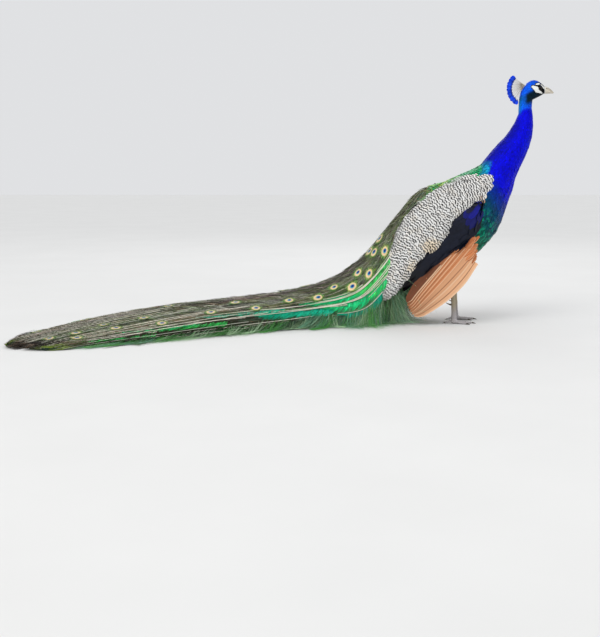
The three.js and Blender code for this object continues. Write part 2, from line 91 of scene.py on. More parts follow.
# The train before it bends round in plan: x and z of its top, x and z of its underside, and half its width.
TRAIN = np.array([
    (-0.058, 0.459, -0.046, 0.436, 0.020), (-0.088, 0.449, -0.064, 0.412, 0.044),
    (-0.134, 0.417, -0.090, 0.372, 0.054), (-0.178, 0.364, -0.120, 0.300, 0.060),
    (-0.222, 0.309, -0.150, 0.220, 0.070), (-0.260, 0.261, -0.180, 0.130, 0.084),
    (-0.303, 0.214, -0.222, 0.060, 0.098), (-0.354, 0.172, -0.280, 0.000, 0.108),
    (-0.412, 0.139, -0.362, -0.014, 0.118), (-0.485, 0.116, -0.460, -0.012, 0.132),
    (-0.600, 0.096, -0.592, -0.010, 0.152), (-0.750, 0.082, -0.748, -0.009, 0.172),
    (-0.920, 0.068, -0.920, -0.008, 0.188), (-1.080, 0.052, -1.080, -0.007, 0.184),
    (-1.200, 0.039, -1.200, -0.006, 0.168), (-1.310, 0.027, -1.310, -0.006, 0.140),
    (-1.400, 0.018, -1.400, -0.005, 0.104), (-1.465, 0.011, -1.465, -0.005, 0.064),
    (-1.495, 0.008, -1.495, -0.005, 0.034),
])
SWEEP_FROM, SWEEP_LENGTH, SWEEP_TURN = -0.250, 1.250, math.radians(54)

SPINE_LENGTH = 0.85  # a little more than the length of the spine's line
SPINE_STEPS, WING_STEPS = 400, 240  # how many points stand for a line in a search

CREST_ROOT = np.array([0.217, 0.0, 0.7725])
LEG_OUT = 0.022  # the legs lie further out to each side than this
LEG_FRONT = 0.13  # and further back than this

# -------------------- colours


def srgb(red, green, blue):
    """A colour given as 0 to 255 values, as the linear light that shaders use."""
    value = np.array([red, green, blue], float) / 255
    return np.where(value <= 0.04045, value / 12.92, ((value + 0.055) / 1.055) ** 2.4)


AZURE = srgb(4, 108, 255)
COBALT = srgb(4, 26, 222)
ROYAL = srgb(2, 4, 214)
NAVY = srgb(2, 12, 96)
TURQUOISE = srgb(6, 150, 190)
THROAT = srgb(4, 34, 48)
TEAL = srgb(2, 74, 104)
TEAL_BLUE = srgb(2, 44, 158)
SEA_GREEN = srgb(2, 92, 70)
EMERALD = srgb(16, 150, 92)
EMERALD_GLINT = srgb(12, 158, 122)
GOLD_GREEN = srgb(160, 190, 70)
BELLY = srgb(34, 34, 26)
FAWN = srgb(170, 146, 116)
CROWN = srgb(10, 94, 238)
WHITE_SKIN = srgb(232, 234, 230)
BILL_PALE = srgb(208, 200, 184)
RIDGE_GREY = srgb(112, 104, 94)
BLACK_PLUME = srgb(6, 9, 14)
LEG = srgb(192, 180, 150)
LEG_DARK = srgb(104, 94, 84)
FOOT_GREY = srgb(176, 172, 174)
LID = srgb(34, 36, 42)
LID_RIM = srgb(96, 92, 90)

# -------------------- numbers on arrays


def smooth(low, high, x):
    """0 below low and 1 above high, with a soft step between them."""
    t = np.clip((np.asarray(x, float) - low) / (high - low), 0, 1)
    return t * t * (3 - 2 * t)


def mix(first, second, share):
    """Rows of the first colour turned towards the second by each row's share."""
    share = np.asarray(share, float)[..., None]
    return np.asarray(first) * (1 - share) + np.asarray(second) * share


def layered(colour, *layers):
    """The colour with others laid over it in turn, each given with its share."""
    for shade, share in layers:
        colour = mix(colour, shade, share)
    return colour


def near_one(rng, spread, count, low, high):
    """Random factors about 1, none of them past the two limits."""
    return np.clip(rng.normal(1, spread, count), low, high)


def unit(vectors):
    """The vectors, each made 1 long."""
    return vectors / np.maximum(np.linalg.norm(vectors, axis=-1, keepdims=True), 1e-9)


def spline(points, share):
    """Points at shares 0 to 1 of a centripetal Catmull-Rom curve through the given ones."""
    points = np.asarray(points, float)
    padded = np.vstack([2 * points[0] - points[1], points, 2 * points[-1] - points[-2]])
    spans = len(points) - 1
    place = np.clip(share, 0, 1) * spans
    span = np.minimum(place.astype(int), spans - 1)
    w = (place - span)[..., None]
    a, b, c, d = (padded[span + k] for k in range(4))
    before, during, after = (
        np.maximum(np.linalg.norm(q - p, axis=-1, keepdims=True), 1e-8) ** 0.5
        for p, q in ((a, b), (b, c), (c, d))
    )
    leave = ((b - a) / before - (c - a) / (before + during) + (c - b) / during) * during
    arrive = ((c - b) / during - (d - b) / (during + after) + (d - c) / after) * during
    return (
        b + leave * w + (3 * (c - b) - 2 * leave - arrive) * w**2 + (2 * (b - c) + leave + arrive) * w**3
    )


def lengths_along(line):
    """The distance along a line of points at each of them."""
    return np.concatenate([[0], np.cumsum(np.linalg.norm(np.diff(line, axis=0), axis=1))])


def capsule(x, z, start, end, start_radius, end_radius):
    """Distance in from the edge of a rounded stroke in the x-z plane: above 0 inside it."""
    start, end = np.array(start), np.array(end)
    run = end - start
    t = np.clip(((x - start[0]) * run[0] + (z - start[1]) * run[1]) / (run @ run), 0, 1)
    away = np.hypot(x - start[0] - t * run[0], z - start[1] - t * run[1])
    return start_radius + (end_radius - start_radius) * t - away


# -------------------- meshes
SAME_POINT = 1e-5  # corners of two nodes nearer than this are one
DEEPEST = 0.045  # no point inside a wing or the train is deeper in than this
TRIAL_SAMPLES = 2000
CLEAR_OUT, CLOSE_OUT = 0.4, 0.09  # how far out sideways a search for a surface starts


def add_object(name, data):
    """A new object in the scene."""
    made = bpy.data.objects.new(name, data)
    bpy.context.scene.collection.objects.link(made)
    return made


def read(items, key, kind=np.float32):
    """The three numbers that each item holds under a key, a row for each."""
    values = np.zeros(len(items) * 3, kind)
    items.foreach_get(key, values)
    return values.reshape(-1, 3)


def near_tree(points):
    """A tree that finds the nearest of the points."""
    tree = KDTree(len(points))
    for index, point in enumerate(points):
        tree.insert(point, index)
    tree.balance()
    return tree


def repeated(faces, size, count):
    """The faces of count copies of a shape that has size points, laid one after another."""
    return (faces[None] + (np.arange(count) * size)[:, None, None]).reshape(-1, faces.shape[1])


def grid_faces(rows, columns, count=1):
    """Quads of count grids of rows x columns points."""
    row, column = np.meshgrid(np.arange(rows - 1), np.arange(columns - 1), indexing="ij")
    corner = (row * columns + column).ravel()
    quads = np.stack([corner, corner + 1, corner + 1 + columns, corner + columns], 1)
    return repeated(quads, rows * columns, count)


def ring_faces(rings, around):
    """Quads between rings of points, each ring closed on itself."""
    row, corner = np.meshgrid(np.arange(rings - 1), np.arange(around), indexing="ij")
    here, beside = row * around + corner, row * around + (corner + 1) % around
    return np.stack([here, beside, beside + around, here + around], -1).reshape(-1, 4)


def piece(name, points, faces, material, maps, plume, nodes=()):
    """A finished piece: UV maps and colours given per point, material slot and the nodes it stands for.

    plume holds three numbers of colour, and may hold a fourth that the finish uses as a share.
    """
    points = np.asarray(points).reshape(-1, 3) + FEET
    faces = np.asarray(faces, np.int32)
    corners = faces.shape[1]
    mesh = bpy.data.meshes.new(name)
    mesh.vertices.add(len(points))
    mesh.vertices.foreach_set("co", points.astype(np.float32).ravel())
    mesh.loops.add(faces.size)
    mesh.loops.foreach_set("vertex_index", faces.ravel())
    mesh.polygons.add(len(faces))
    mesh.polygons.foreach_set("loop_start", np.arange(0, faces.size, corners, dtype=np.int32))
    mesh.polygons.foreach_set("use_smooth", np.ones(len(faces), bool))
    mesh.update(calc_edges=True)
    for map_name, spots in maps.items():
        layer = mesh.uv_layers.new(name=map_name)
        spots = np.asarray(spots, np.float32).reshape(-1, 2)
        layer.data.foreach_set("uv", spots[faces.ravel()].ravel())
    if plume is not None:
        layer = mesh.color_attributes.new("plume", "FLOAT_COLOR", "POINT")
        rgba = np.ones((len(points), 4), np.float32)
        rgba[:, : plume.shape[-1]] = plume.reshape(-1, plume.shape[-1])
        layer.data.foreach_set("color", rgba.ravel())
    mesh.materials.append(material)
    made = add_object(name, mesh)
    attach(made, "root")
    if nodes:
        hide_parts(*nodes)


def joined_nodes(names):
    """One temporary object of copies of these nodes, with their doubled points merged."""
    points, faces = [], []
    start = 0
    for name in names:
        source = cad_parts[name].data
        source.calc_loop_triangles()
        points.append(read(source.vertices, "co").astype(float) - FEET)
        faces.append(read(source.loop_triangles, "vertices", np.int32) + start)
        start += len(source.vertices)
    points = np.vstack(points)
    rounded = np.round(points / SAME_POINT).astype(np.int64)
    _, first, where = np.unique(rounded, axis=0, return_index=True, return_inverse=True)
    faces = where.reshape(-1)[np.vstack(faces)]
    mesh = bpy.data.meshes.new("joined")
    mesh.from_pydata(points[first].tolist(), [], faces.tolist())
    return add_object("joined", mesh)


def evaluated(made):
    """The object's mesh with its modifiers applied; the object itself is removed."""
    graph = bpy.context.evaluated_depsgraph_get()
    mesh = bpy.data.meshes.new_from_object(made.evaluated_get(graph))
    bpy.data.objects.remove(made)
    return mesh


def remeshed(names, voxel, relax):
    """A single closed mesh round these nodes, with thin gaps between them closed and facets smoothed."""
    made = joined_nodes(names)
    remesh = made.modifiers.new("remesh", "REMESH")
    remesh.mode = "VOXEL"
    remesh.voxel_size = voxel
    relaxed = made.modifiers.new("relax", "SMOOTH")
    relaxed.factor = 0.5
    relaxed.iterations = relax
    return Surface(evaluated(made))


class Surface:
    """A closed mesh that feathers are laid on."""

    def __init__(self, mesh):
        mesh.calc_loop_triangles()
        self.mesh = mesh
        self.points = read(mesh.vertices, "co").astype(float)
        self.tris = read(mesh.loop_triangles, "vertices", np.int32)
        self.normals = read(mesh.vertices, "normal").astype(float)
        self.tree = BVHTree.FromPolygons(self.points.tolist(), self.tris.tolist())

    def samples(self, count, rng, keep):
        """Random points on the faces whose middles are kept, with their normals."""
        corners = self.points[self.tris]
        chosen = np.flatnonzero(keep(corners.mean(1)))
        cross = np.cross(corners[chosen, 1] - corners[chosen, 0], corners[chosen, 2] - corners[chosen, 0])
        area = np.linalg.norm(cross, axis=1)
        picked = chosen[rng.choice(len(chosen), int(count), p=area / area.sum())]
        u, v = rng.random((2, len(picked)))
        flip = u + v > 1
        u, v = np.where(flip, 1 - u, u), np.where(flip, 1 - v, v)
        weights = np.stack([1 - u - v, u, v], 1)[..., None]
        points = (self.points[self.tris[picked]] * weights).sum(1)
        normals = unit((self.normals[self.tris[picked]] * weights).sum(1))
        return points, normals, area.sum() / 2

    def scatter(self, spacing, rng, keep, crowd=5):
        """Points about spacing(points) apart, all over the kept faces, with their normals."""
        trial, _, area = self.samples(TRIAL_SAMPLES, rng, keep)
        count = crowd * area * np.mean(1 / spacing(trial) ** 2)
        points, normals, _ = self.samples(count, rng, keep)
        gap = spacing(points)
        tree = near_tree(points)
        alive = np.ones(len(points), bool)
        taken = []
        for index in np.argsort(rng.random(len(points)) * gap):
            if alive[index]:
                taken.append(index)
                for _, near, _ in tree.find_range(points[index], gap[index]):
                    alive[near] = False
        taken = np.array(taken)
        return points[taken], normals[taken]

    def from_side(self, x, z, side):
        """Where a level line in from that side first meets the surface, above x and z: (points, normals)."""
        points = np.zeros((len(x), 3))
        normals = np.zeros((len(x), 3))
        inward = Vector((0, -side, 0))
        for index, (px, pz) in enumerate(zip(x, z)):
            hit, normal, _, _ = self.tree.ray_cast(Vector((px, side * CLEAR_OUT, pz)), inward, CLEAR_OUT)
            if hit is None:
                hit, normal, _, _ = self.tree.find_nearest(Vector((px, side * CLOSE_OUT, pz)))
            points[index] = (px, hit.y, pz)
            normals[index] = normal
        return points, normals

    def far_from(self, points, distance):
        """Which of the points lie further than the distance from this surface and outside it."""
        result = np.zeros(len(points), bool)
        for index, point in enumerate(points):
            spot, normal, _, away = self.tree.find_nearest(Vector(point))
            outside = (Vector(point) - spot).dot(normal) > 0 or away > DEEPEST
            result[index] = away > distance and outside
        return result


# -------------------- shader maths
class Wire:
    """A shader socket that carries a number, with the arithmetic that patterns are written in."""

    def __init__(self, socket):
        self.socket = socket
        self.tree = socket.id_data

    def maths(self, operation, *values):
        node = self.tree.nodes.new("ShaderNodeMath")
        node.operation = operation
        for entry, value in zip(node.inputs, values):
            connect(entry, value)
        return Wire(node.outputs[0])

    def __add__(self, other):
        return self.maths("ADD", self, other)

    def __sub__(self, other):
        return self.maths("SUBTRACT", self, other)

    def __rsub__(self, other):
        return self.maths("SUBTRACT", other, self)

    def __mul__(self, other):
        return self.maths("MULTIPLY", self, other)

    def __pow__(self, other):
        return self.maths("POWER", self, other)

    __radd__ = __add__
    __rmul__ = __mul__

    def magnitude(self):
        return self.maths("ABSOLUTE", self)

    def wave(self):
        return self.maths("SINE", self) * 0.5 + 0.5

    def turn_from(self, other):
        """The angle of the place whose two coordinates are the other wire and this one."""
        return self.maths("ARCTAN2", self, other)

    def ripple(self, gap):
        """A wave from 0 to 1 that comes back after every gap."""
        return (self * (2 * math.pi / gap)).wave()

    def step(self, low, high):
        """0 below low and 1 above high, softly between."""
        node = self.tree.nodes.new("ShaderNodeMapRange")
        node.interpolation_type = "SMOOTHSTEP"
        connect(node.inputs["Value"], self)
        node.inputs["From Min"].default_value = low
        node.inputs["From Max"].default_value = high
        return Wire(node.outputs[0])


def connect(entry, value):
    """Feeds a socket from a wire, a socket or a plain value."""
    if isinstance(value, Wire):
        entry.id_data.links.new(value.socket, entry)
    elif isinstance(value, bpy.types.NodeSocket):
        entry.id_data.links.new(value, entry)
    elif entry.type == "RGBA" and len(value) == 3:
        entry.default_value = (*value, 1)
    else:
        entry.default_value = value


class Finish:
    """One material: its shader, and a method that makes any other node."""

    def __init__(self, name, roughness=0.5, metallic=0.0, **constants):
        self.material = bpy.data.materials.new(name)
        self.material.use_nodes = True
        self.tree = self.material.node_tree
        self.shader = self.tree.nodes["Principled BSDF"]
        self.feed(Roughness=roughness, Metallic=metallic, **constants)

    def feed(self, **sockets):
        for socket, value in sockets.items():
            connect(self.shader.inputs[socket.replace("_", " ")], value)

    def node(self, kind, settings=None, **sockets):
        node = self.tree.nodes.new("ShaderNode" + kind)
        for key, value in (settings or {}).items():
            setattr(node, key, value)
        for socket, value in sockets.items():
            connect(node.inputs[socket.replace("_", " ")], value)
        return node

    def plume(self):
        return self.node("VertexColor", {"layer_name": "plume"}).outputs["Color"]

    def map(self, name):
        """The two coordinates of a UV map as wires."""
        spots = self.node("UVMap", {"uv_map": name}).outputs["UV"]
        split = self.node("SeparateXYZ", Vector=spots)
        return Wire(split.outputs["X"]), Wire(split.outputs["Y"])

    def place(self):
        return self.node("TexCoord").outputs["Object"]

    def noise(self, vector, scale, detail=3.0):
        return Wire(self.node("TexNoise", Vector=vector, Scale=scale, Detail=detail).outputs["Fac"])

    def vector(self, x, y, z=0.0):
        return self.node("CombineXYZ", X=x, Y=y, Z=z).outputs[0]

    def tint(self, first, second, share):
        """The first colour turned towards the second by a wire."""
        blend = self.node("Mix", {"data_type": "RGBA"})
        connect(blend.inputs["Factor"], share)
        connect(blend.inputs[6], first)
        connect(blend.inputs[7], second)
        return blend.outputs[2]

    def shaded(self, colour, light):
        """A colour made lighter or darker by a wire near 1."""
        blend = self.node("VectorMath", {"operation": "SCALE"})
        connect(blend.inputs[0], colour)
        connect(blend.inputs["Scale"], light)
        return blend.outputs[0]

    def bump(self, height, distance, strength=1.0):
        bump = self.node("Bump", Height=height, Distance=distance, Strength=strength)
        self.feed(Normal=bump.outputs[0])


# -------------------- the lie of the coat
def spine_frame(points):
    """At points on the body: the way to the tail, distance along the spine, and angle from the back."""
    fine = spline(np.insert(SPINE, 1, 0.0, axis=1), np.linspace(0, 1, SPINE_STEPS))
    heading = unit(np.gradient(fine, axis=0))
    tree = near_tree(fine)
    nearest = np.array([tree.find((p[0], 0.0, p[2]))[1] for p in points])
    tangent = heading[nearest]
    up = np.stack([tangent[:, 2], np.zeros(len(points)), -tangent[:, 0]], 1)
    across = points - fine[nearest]
    angle = np.arctan2(points[:, 1], (across * up).sum(1))
    return tangent, lengths_along(fine)[nearest], angle


def along_surface(directions, normals):
    """The directions turned to lie in the surface."""
    return unit(directions - (directions * normals).sum(1, keepdims=True) * normals)


def face_marks(points):
    """Shares of white bare skin and of black plumes at points on the head."""
    x, y, z = points.T
    middle = 0.0026 * smooth(0.262, 0.266, x)
    off_middle = smooth(0.004, 0.007, np.abs(y) - middle)
    cheek = np.maximum(
        capsule(x, z, (0.2405, 0.7665), (0.2505, 0.7600), 0.0050, 0.0082),
        capsule(x, z, (0.2530, 0.7562), (0.2710, 0.7482), 0.0080, 0.0034),
    )
    brow = capsule(x, z, (0.2510, 0.7750), (0.2600, 0.7768), 0.0025, 0.0031)
    lore = capsule(x, z, (0.2666, 0.7742), (0.2818, 0.7587), 0.0016, 0.0034)
    white = np.maximum(np.maximum(cheek, brow), lore)
    stroke = np.maximum(
        capsule(x, z, (0.2640, 0.7620), (0.2785, 0.7495), 0.0062, 0.0044),
        capsule(x, z, (0.2420, 0.7715), (0.2620, 0.7690), 0.0008, 0.0034),
    )
    border = white + 0.0021
    black = np.maximum(stroke, border)
    white_share = smooth(-0.0004, 0.0006, white) * (1 - smooth(-0.0006, 0.0006, stroke)) * off_middle
    forehead = smooth(0.263, 0.267, x) * smooth(0.762, 0.765, z)
    black_share = smooth(-0.0008, 0.0006, black) * np.maximum(off_middle, forehead) * smooth(0.228, 0.236, x)
    black_share = np.maximum(black_share, 0.9 * forehead * (1 - off_middle))
    return white_share, black_share


def plumage(points, rng=None):
    """The body's colours. A rng adds the slight spread from one feather to the next, and painted green glints
    on some feathers low on the breast.
    """
    x, y, z = points.T
    _, _, angle = spine_frame(points)
    behind = np.cos(angle)
    flank = np.abs(np.sin(angle))

    throat = smooth(0.700, 0.722, z - 0.34 * (x - 0.222)) * smooth(0.206, 0.224, x)
    nape = smooth(0.752, 0.735, z) * smooth(0.706, 0.730, z) * smooth(0.225, 0.205, x)
    # Below a slanting line across the breast the blue turns teal and then green.
    down = (0.111 - x) * 0.838 + (0.497 - z) * 0.547
    colour = layered(
        mix(AZURE, ROYAL, smooth(0.686, 0.672, z - 0.020 * flank)),
        (ROYAL, 0.75 * smooth(-0.35, 0.6, -behind) * smooth(0.730, 0.690, z)),
        (COBALT, 0.7 * smooth(0.25, 0.9, -behind) * smooth(0.66, 0.60, z) * smooth(0.50, 0.60, z)),
        (TURQUOISE, 0.65 * smooth(0.55, 1.0, behind) * smooth(0.675, 0.700, z)),
        (NAVY, 0.5 * smooth(0.2, 0.9, behind) * smooth(0.68, 0.64, z) * smooth(0.49, 0.54, z)),
        (THROAT, throat),
        (TEAL, 0.6 * nape),
        (CROWN, smooth(0.747, 0.760, z + 0.5 * (0.236 - x)) * smooth(0.290, 0.262, x)),
        (TEAL_BLUE, smooth(-0.004, 0.030, down)),
        (TEAL, smooth(0.022, 0.075, down)),
        (SEA_GREEN, smooth(0.070, 0.150, down)),
        (BELLY, smooth(0.225, 0.185, z) * smooth(0.10, 0.03, x)),
    )

    # The mantle: a small turquoise patch behind the neck, then green that turns gold down the back.
    slanted = x - 0.35 * (z - 0.503)
    on_back = smooth(-0.1, 0.35, behind) * smooth(0.106, 0.094, slanted) * smooth(0.540, 0.512, z)
    seam = np.maximum(smooth(0.086, 0.074, slanted), smooth(0.492, 0.478, z))
    gold = on_back * smooth(0.035, -0.040, x) * 0.8
    colour = layered(colour, (TURQUOISE, on_back * (1 - seam)), (EMERALD, on_back * seam), (GOLD_GREEN, gold))

    if rng is not None:
        colour = colour * np.clip(1 + rng.normal(0, 0.16, len(points)), 0.5, 1.6)[:, None]
        # Painted highlights: about a third of the lower breast's feathers turn towards a light emerald, as
        # glints of their green sheen.
        glint_share = smooth(0.060, 0.110, down) * (rng.random(len(points)) < 0.32)
        colour = mix(colour, EMERALD_GLINT, 0.7 * glint_share)
    white, black = face_marks(points)
    leg = smooth(0.176, 0.166, z) * (x < LEG_FRONT) * (np.abs(y) > LEG_OUT)
    thigh = smooth(0.262, 0.235, z) * smooth(0.020, 0.028, np.abs(y))
    thigh = thigh * smooth(0.085, 0.065, x) * smooth(-0.06, -0.03, x)
    leg_colour = mix(FOOT_GREY, LEG, smooth(0.03, 0.07, z))
    return layered(colour, (BLACK_PLUME, black), (WHITE_SKIN, white), (FAWN, thigh), (leg_colour, leg))


# -------------------- feathers
# Half widths of a feather at even steps from its root to its tip, as shares of its width.
ROUND_TIP = (0.45, 0.80, 0.97, 1.0, 0.86, 0.30)
BLUNT_TIP = (0.55, 0.85, 0.98, 1.0, 0.94, 0.55)
POINTED_TIP = (0.40, 0.80, 1.0, 0.90, 0.62, 0.12)
HAIR_TIP = (0.60, 1.0, 0.70, 0.15)
PATCH = 0.003  # width of each feather's patch in the map that is baked


def feather_grid(points, normals, lies, length, width, outline, tilt, cup, bend, columns=3, root=0.55):
    """Thin vanes that each touch the surface near their middle: (count, rows, columns, 3) points, u, v."""
    count, rows = len(points), len(outline)
    length = np.broadcast_to(length, count)[:, None, None]
    width = np.broadcast_to(width, count)[:, None, None]
    rise = np.broadcast_to(tilt, count)[:, None]
    heading = lies * np.cos(rise) + normals * np.sin(rise)
    facing = normals * np.cos(rise) - lies * np.sin(rise)
    side = np.cross(facing, heading)
    v = np.linspace(0, 1, rows)[None, :, None]
    u = np.linspace(-1, 1, columns)[None, None, :]
    half = width / 2 * np.asarray(outline)[None, :, None]
    along = (v - root) * length + 0 * u
    over = half * u
    out = -cup * half * u**2 - bend * ((v - root) * length) ** 2 + 0 * u
    grid = (
        points[:, None, None] + heading[:, None, None] * along[..., None]
        + side[:, None, None] * over[..., None] + facing[:, None, None] * out[..., None]
    )
    share_u = np.broadcast_to((u + 1) / 2, grid.shape[:3])
    share_v = np.broadcast_to(v, grid.shape[:3])
    return grid, share_u, share_v


def feather_piece(name, grid, u, v, plume, roots, material, length, slot, replaced=()):
    """The piece of a grid of feathers. roots are their places on the coat's unwrap, 0 to 1 both ways."""
    count, rows, columns = grid.shape[:3]
    faces = grid_faces(rows, columns, count)
    grid = grid.copy()
    grid[..., 2] = np.maximum(grid[..., 2], FLOOR_CLEARANCE)
    along = v * np.broadcast_to(length, count)[:, None, None]
    patch = roots[:, None, None] + PATCH * (np.stack([u, v], -1) - 0.5)
    if plume.ndim == 2:
        plume = np.broadcast_to(plume[:, None, None], grid.shape[:3] + plume.shape[-1:])
    maps = {"vane": np.stack([u, along], -1), "OFBake": patch}
    piece(name, grid, faces, material, maps, plume, replaced)


def over_vanes(u, v, count):
    """The places across and along one feather, spread over a grid of count alike."""
    shape = (count, len(v), len(u))
    return np.broadcast_to(u, shape), np.broadcast_to(v[:, None], shape)


def body_unwrap(points):
    """A place for each root on the body's unwrap: angle round the spine against distance along it."""
    _, length, angle = spine_frame(points)
    return 0.02 + 0.96 * np.stack([(angle + np.pi) / (2 * np.pi), np.clip(length / SPINE_LENGTH, 0, 1)], 1)


# -------------------- finishes of the plumage
def plume_finish(name, roughness, metallic, barb_gap, barb_slope, edge=0.0, shaft=None, shine=0.15):
    """Vanes in the colour of their own attribute, with fine barbs, a darker or lighter rim, and any shaft."""
    finish = Finish(name, roughness, metallic, Specular_IOR_Level=shine)
    u, v = finish.map("vane")
    across = (u - 0.5).magnitude() * 2
    barbs = (v - across * barb_slope).ripple(barb_gap)
    rim = across.step(0.55, 1.0)
    light = 0.86 + barbs * 0.28 + rim * edge
    colour = finish.shaded(finish.plume(), light)
    if shaft is not None:
        colour = finish.tint(colour, shaft, (1 - across.step(0.0, 0.16)) * 0.7)
    finish.feed(Base_Color=colour)
    finish.bump(barbs, 0.0003, 0.5)
    return finish.material


def skin_finish():
    """Bare skin and the down under the coat, from the same colours as the coat."""
    finish = Finish("skin", 0.62, Specular_IOR_Level=0.35)
    grain = finish.noise(finish.place(), 900.0)
    wrinkles = finish.noise(finish.place(), 260.0)
    finish.feed(Base_Color=finish.shaded(finish.plume(), 0.80 + grain * 0.4))
    finish.bump(grain * 0.5 + wrinkles, 0.0006, 0.6)
    return finish.material


# -------------------- skin
FLESH = ["head", "neck_upper", "neck_lower", "breast", "rump"]
FLESH += [part + side for side, _ in SIDES for part in ("thigh_", "shank_", "foot_")]
BODY_VOXEL, WING_VOXEL, TRAIN_VOXEL = 0.0022, 0.003, 0.006
FINE_ABOVE, FINE_BELOW = 0.722, 0.165  # the skin's mesh is finest on the head and on the legs
TRUNK_SHARE = 0.30  # how much of the mesh is kept between them
SOLE = 0.0005  # the skin stays flat below this
ABOVE_ALL, BELOW_ALL = 9.0, -1.0
FOOT_X = {-1: -0.005, 1: 0.014}  # how far forward each foot stands
FOOT_APART = 0.046
SCUTE_GAP = 0.0052
TOE_SCUTE_GAP = 0.0036


def coat_depth(points):
    """How far the skin lies inside the coat's outer face: least on the face and none on the legs."""
    x, y, z = points.T
    depth = 0.0055 - 0.0035 * smooth(0.45, 0.66, z) - 0.0012 * smooth(0.70, 0.74, z)
    leg = smooth(0.178, 0.160, z) * (np.abs(y) > LEG_OUT) * (x < LEG_FRONT)
    bare, _ = face_marks(points)
    return depth * (1 - leg) * (1 - 0.8 * bare)


def scaled_leg(y, z):
    """The share of bare leg at each height, down from the ankle."""
    return smooth(0.168, 0.150, z) * (np.abs(y) > LEG_OUT)


def scute_heights(points):
    """0 in the grooves to 1 on the plates: down each shank, across the toes, and fine scales behind."""
    x, y, z = points.T
    foot_x = np.where(y < 0, FOOT_X[-1], FOOT_X[1])
    ahead, out = x - foot_x, np.abs(y) - FOOT_APART
    from_ankle = np.hypot(ahead, out)
    toe = smooth(0.026, 0.016, z) * smooth(0.008, 0.014, from_ankle)
    place = np.where(toe > 0.5, from_ankle / TOE_SCUTE_GAP, z / SCUTE_GAP)
    share = place % 1.0
    plate = smooth(0.0, 0.35, share) * smooth(1.0, 0.75, share)
    round_leg = np.arctan2(out, ahead)
    scales = np.sin(z * 2100) * np.sin(round_leg * 9 + (z / 0.003 % 2 > 1) * np.pi / 2) * 0.5 + 0.5
    front = np.maximum(smooth(-0.003, 0.002, ahead - 0.10 * z), toe)
    return mix(scales[:, None] * 0.6, plate[:, None], front)[:, 0]


def skin_relief(points):
    """How far folds, scutes and wrinkles stand out of the skin."""
    x, y, z = points.T
    leg = scaled_leg(y, z)
    relief = 0.0007 * leg * smooth(0.0005, 0.004, z) * scute_heights(points)
    on_face = smooth(0.004, 0.008, np.abs(y)) * (z > FINE_ABOVE)
    from_eye = np.hypot(x - EYE[0], z - EYE[2])
    turn = np.arctan2(z - EYE[2], x - EYE[0])
    relief += on_face * 0.0007 * np.exp(-(((from_eye - 0.0098) / 0.0011) ** 2)) * (0.6 - 0.4 * np.sin(turn))
    brow = capsule(x, z, (0.2540, 0.7712), (0.2700, 0.7700), 0.0, 0.0)
    relief += on_face * 0.0010 * np.exp(-((brow / 0.0022) ** 2))
    gape = capsule(x, z, (0.2700, 0.7478), (0.2790, 0.7512), 0.0, 0.0)
    relief -= on_face * 0.0009 * np.exp(-((gape / 0.0011) ** 2))
    white, _ = face_marks(points)
    wrinkles = np.sin(from_eye * 3400 + 1.2 * np.sin(turn * 7)) * np.sin(turn * 26)
    return relief + on_face * white * 0.00022 * wrinkles


LID_WIDTH, LID_OPENING = 0.0040, 0.0049


def lids(side):
    """A ring of bare skin round one eye, tight on the ball inside and sunk in the face outside."""
    around, across = 56, 9
    turn = np.linspace(0, 2 * np.pi, around, endpoint=False)[:, None]
    share = np.linspace(0, 1, across)[None]
    above = smooth(-0.2, 0.8, np.sin(turn))
    opening = LID_OPENING - 0.0006 * np.abs(np.sin(turn)) - 0.0004 * above
    reach = opening + LID_WIDTH * share
    x = EYE[0] + reach * np.cos(turn)
    z = EYE[2] + reach * np.sin(turn)
    on_ball = EYE[1] + np.sqrt(np.maximum(EYE_RADIUS**2 - reach**2, 0.0)) + 0.0001
    face, _ = outer.from_side(x.ravel(), z.ravel(), side)
    face = np.abs(face[:, 1].reshape(x.shape)) - 0.0022
    swell = 0.0010 * np.sin(np.pi * np.clip(share * 1.5, 0, 1)) * (1 + 0.5 * above)
    crease = 0.0003 * np.sin(share * 15.0)
    y = on_ball * (1 - smooth(0.0, 0.75, share)) + face * smooth(0.0, 0.75, share) + swell + crease
    points = np.stack([x, side * y, z], -1).reshape(-1, 3)
    row, column = np.meshgrid(np.arange(around), np.arange(across - 1), indexing="ij")
    here, beside = row * across + column, (row + 1) % around * across + column
    quads = np.stack([here, here + 1, beside + 1, beside], -1).reshape(-1, 4)
    if side < 0:
        quads = quads[:, ::-1]
    tris = np.concatenate([quads[:, [0, 1, 2]], quads[:, [0, 2, 3]]])
    rim = smooth(0.16, 0.0, np.broadcast_to(share, x.shape)).ravel()
    return points, tris, mix(LID, LID_RIM, rim)


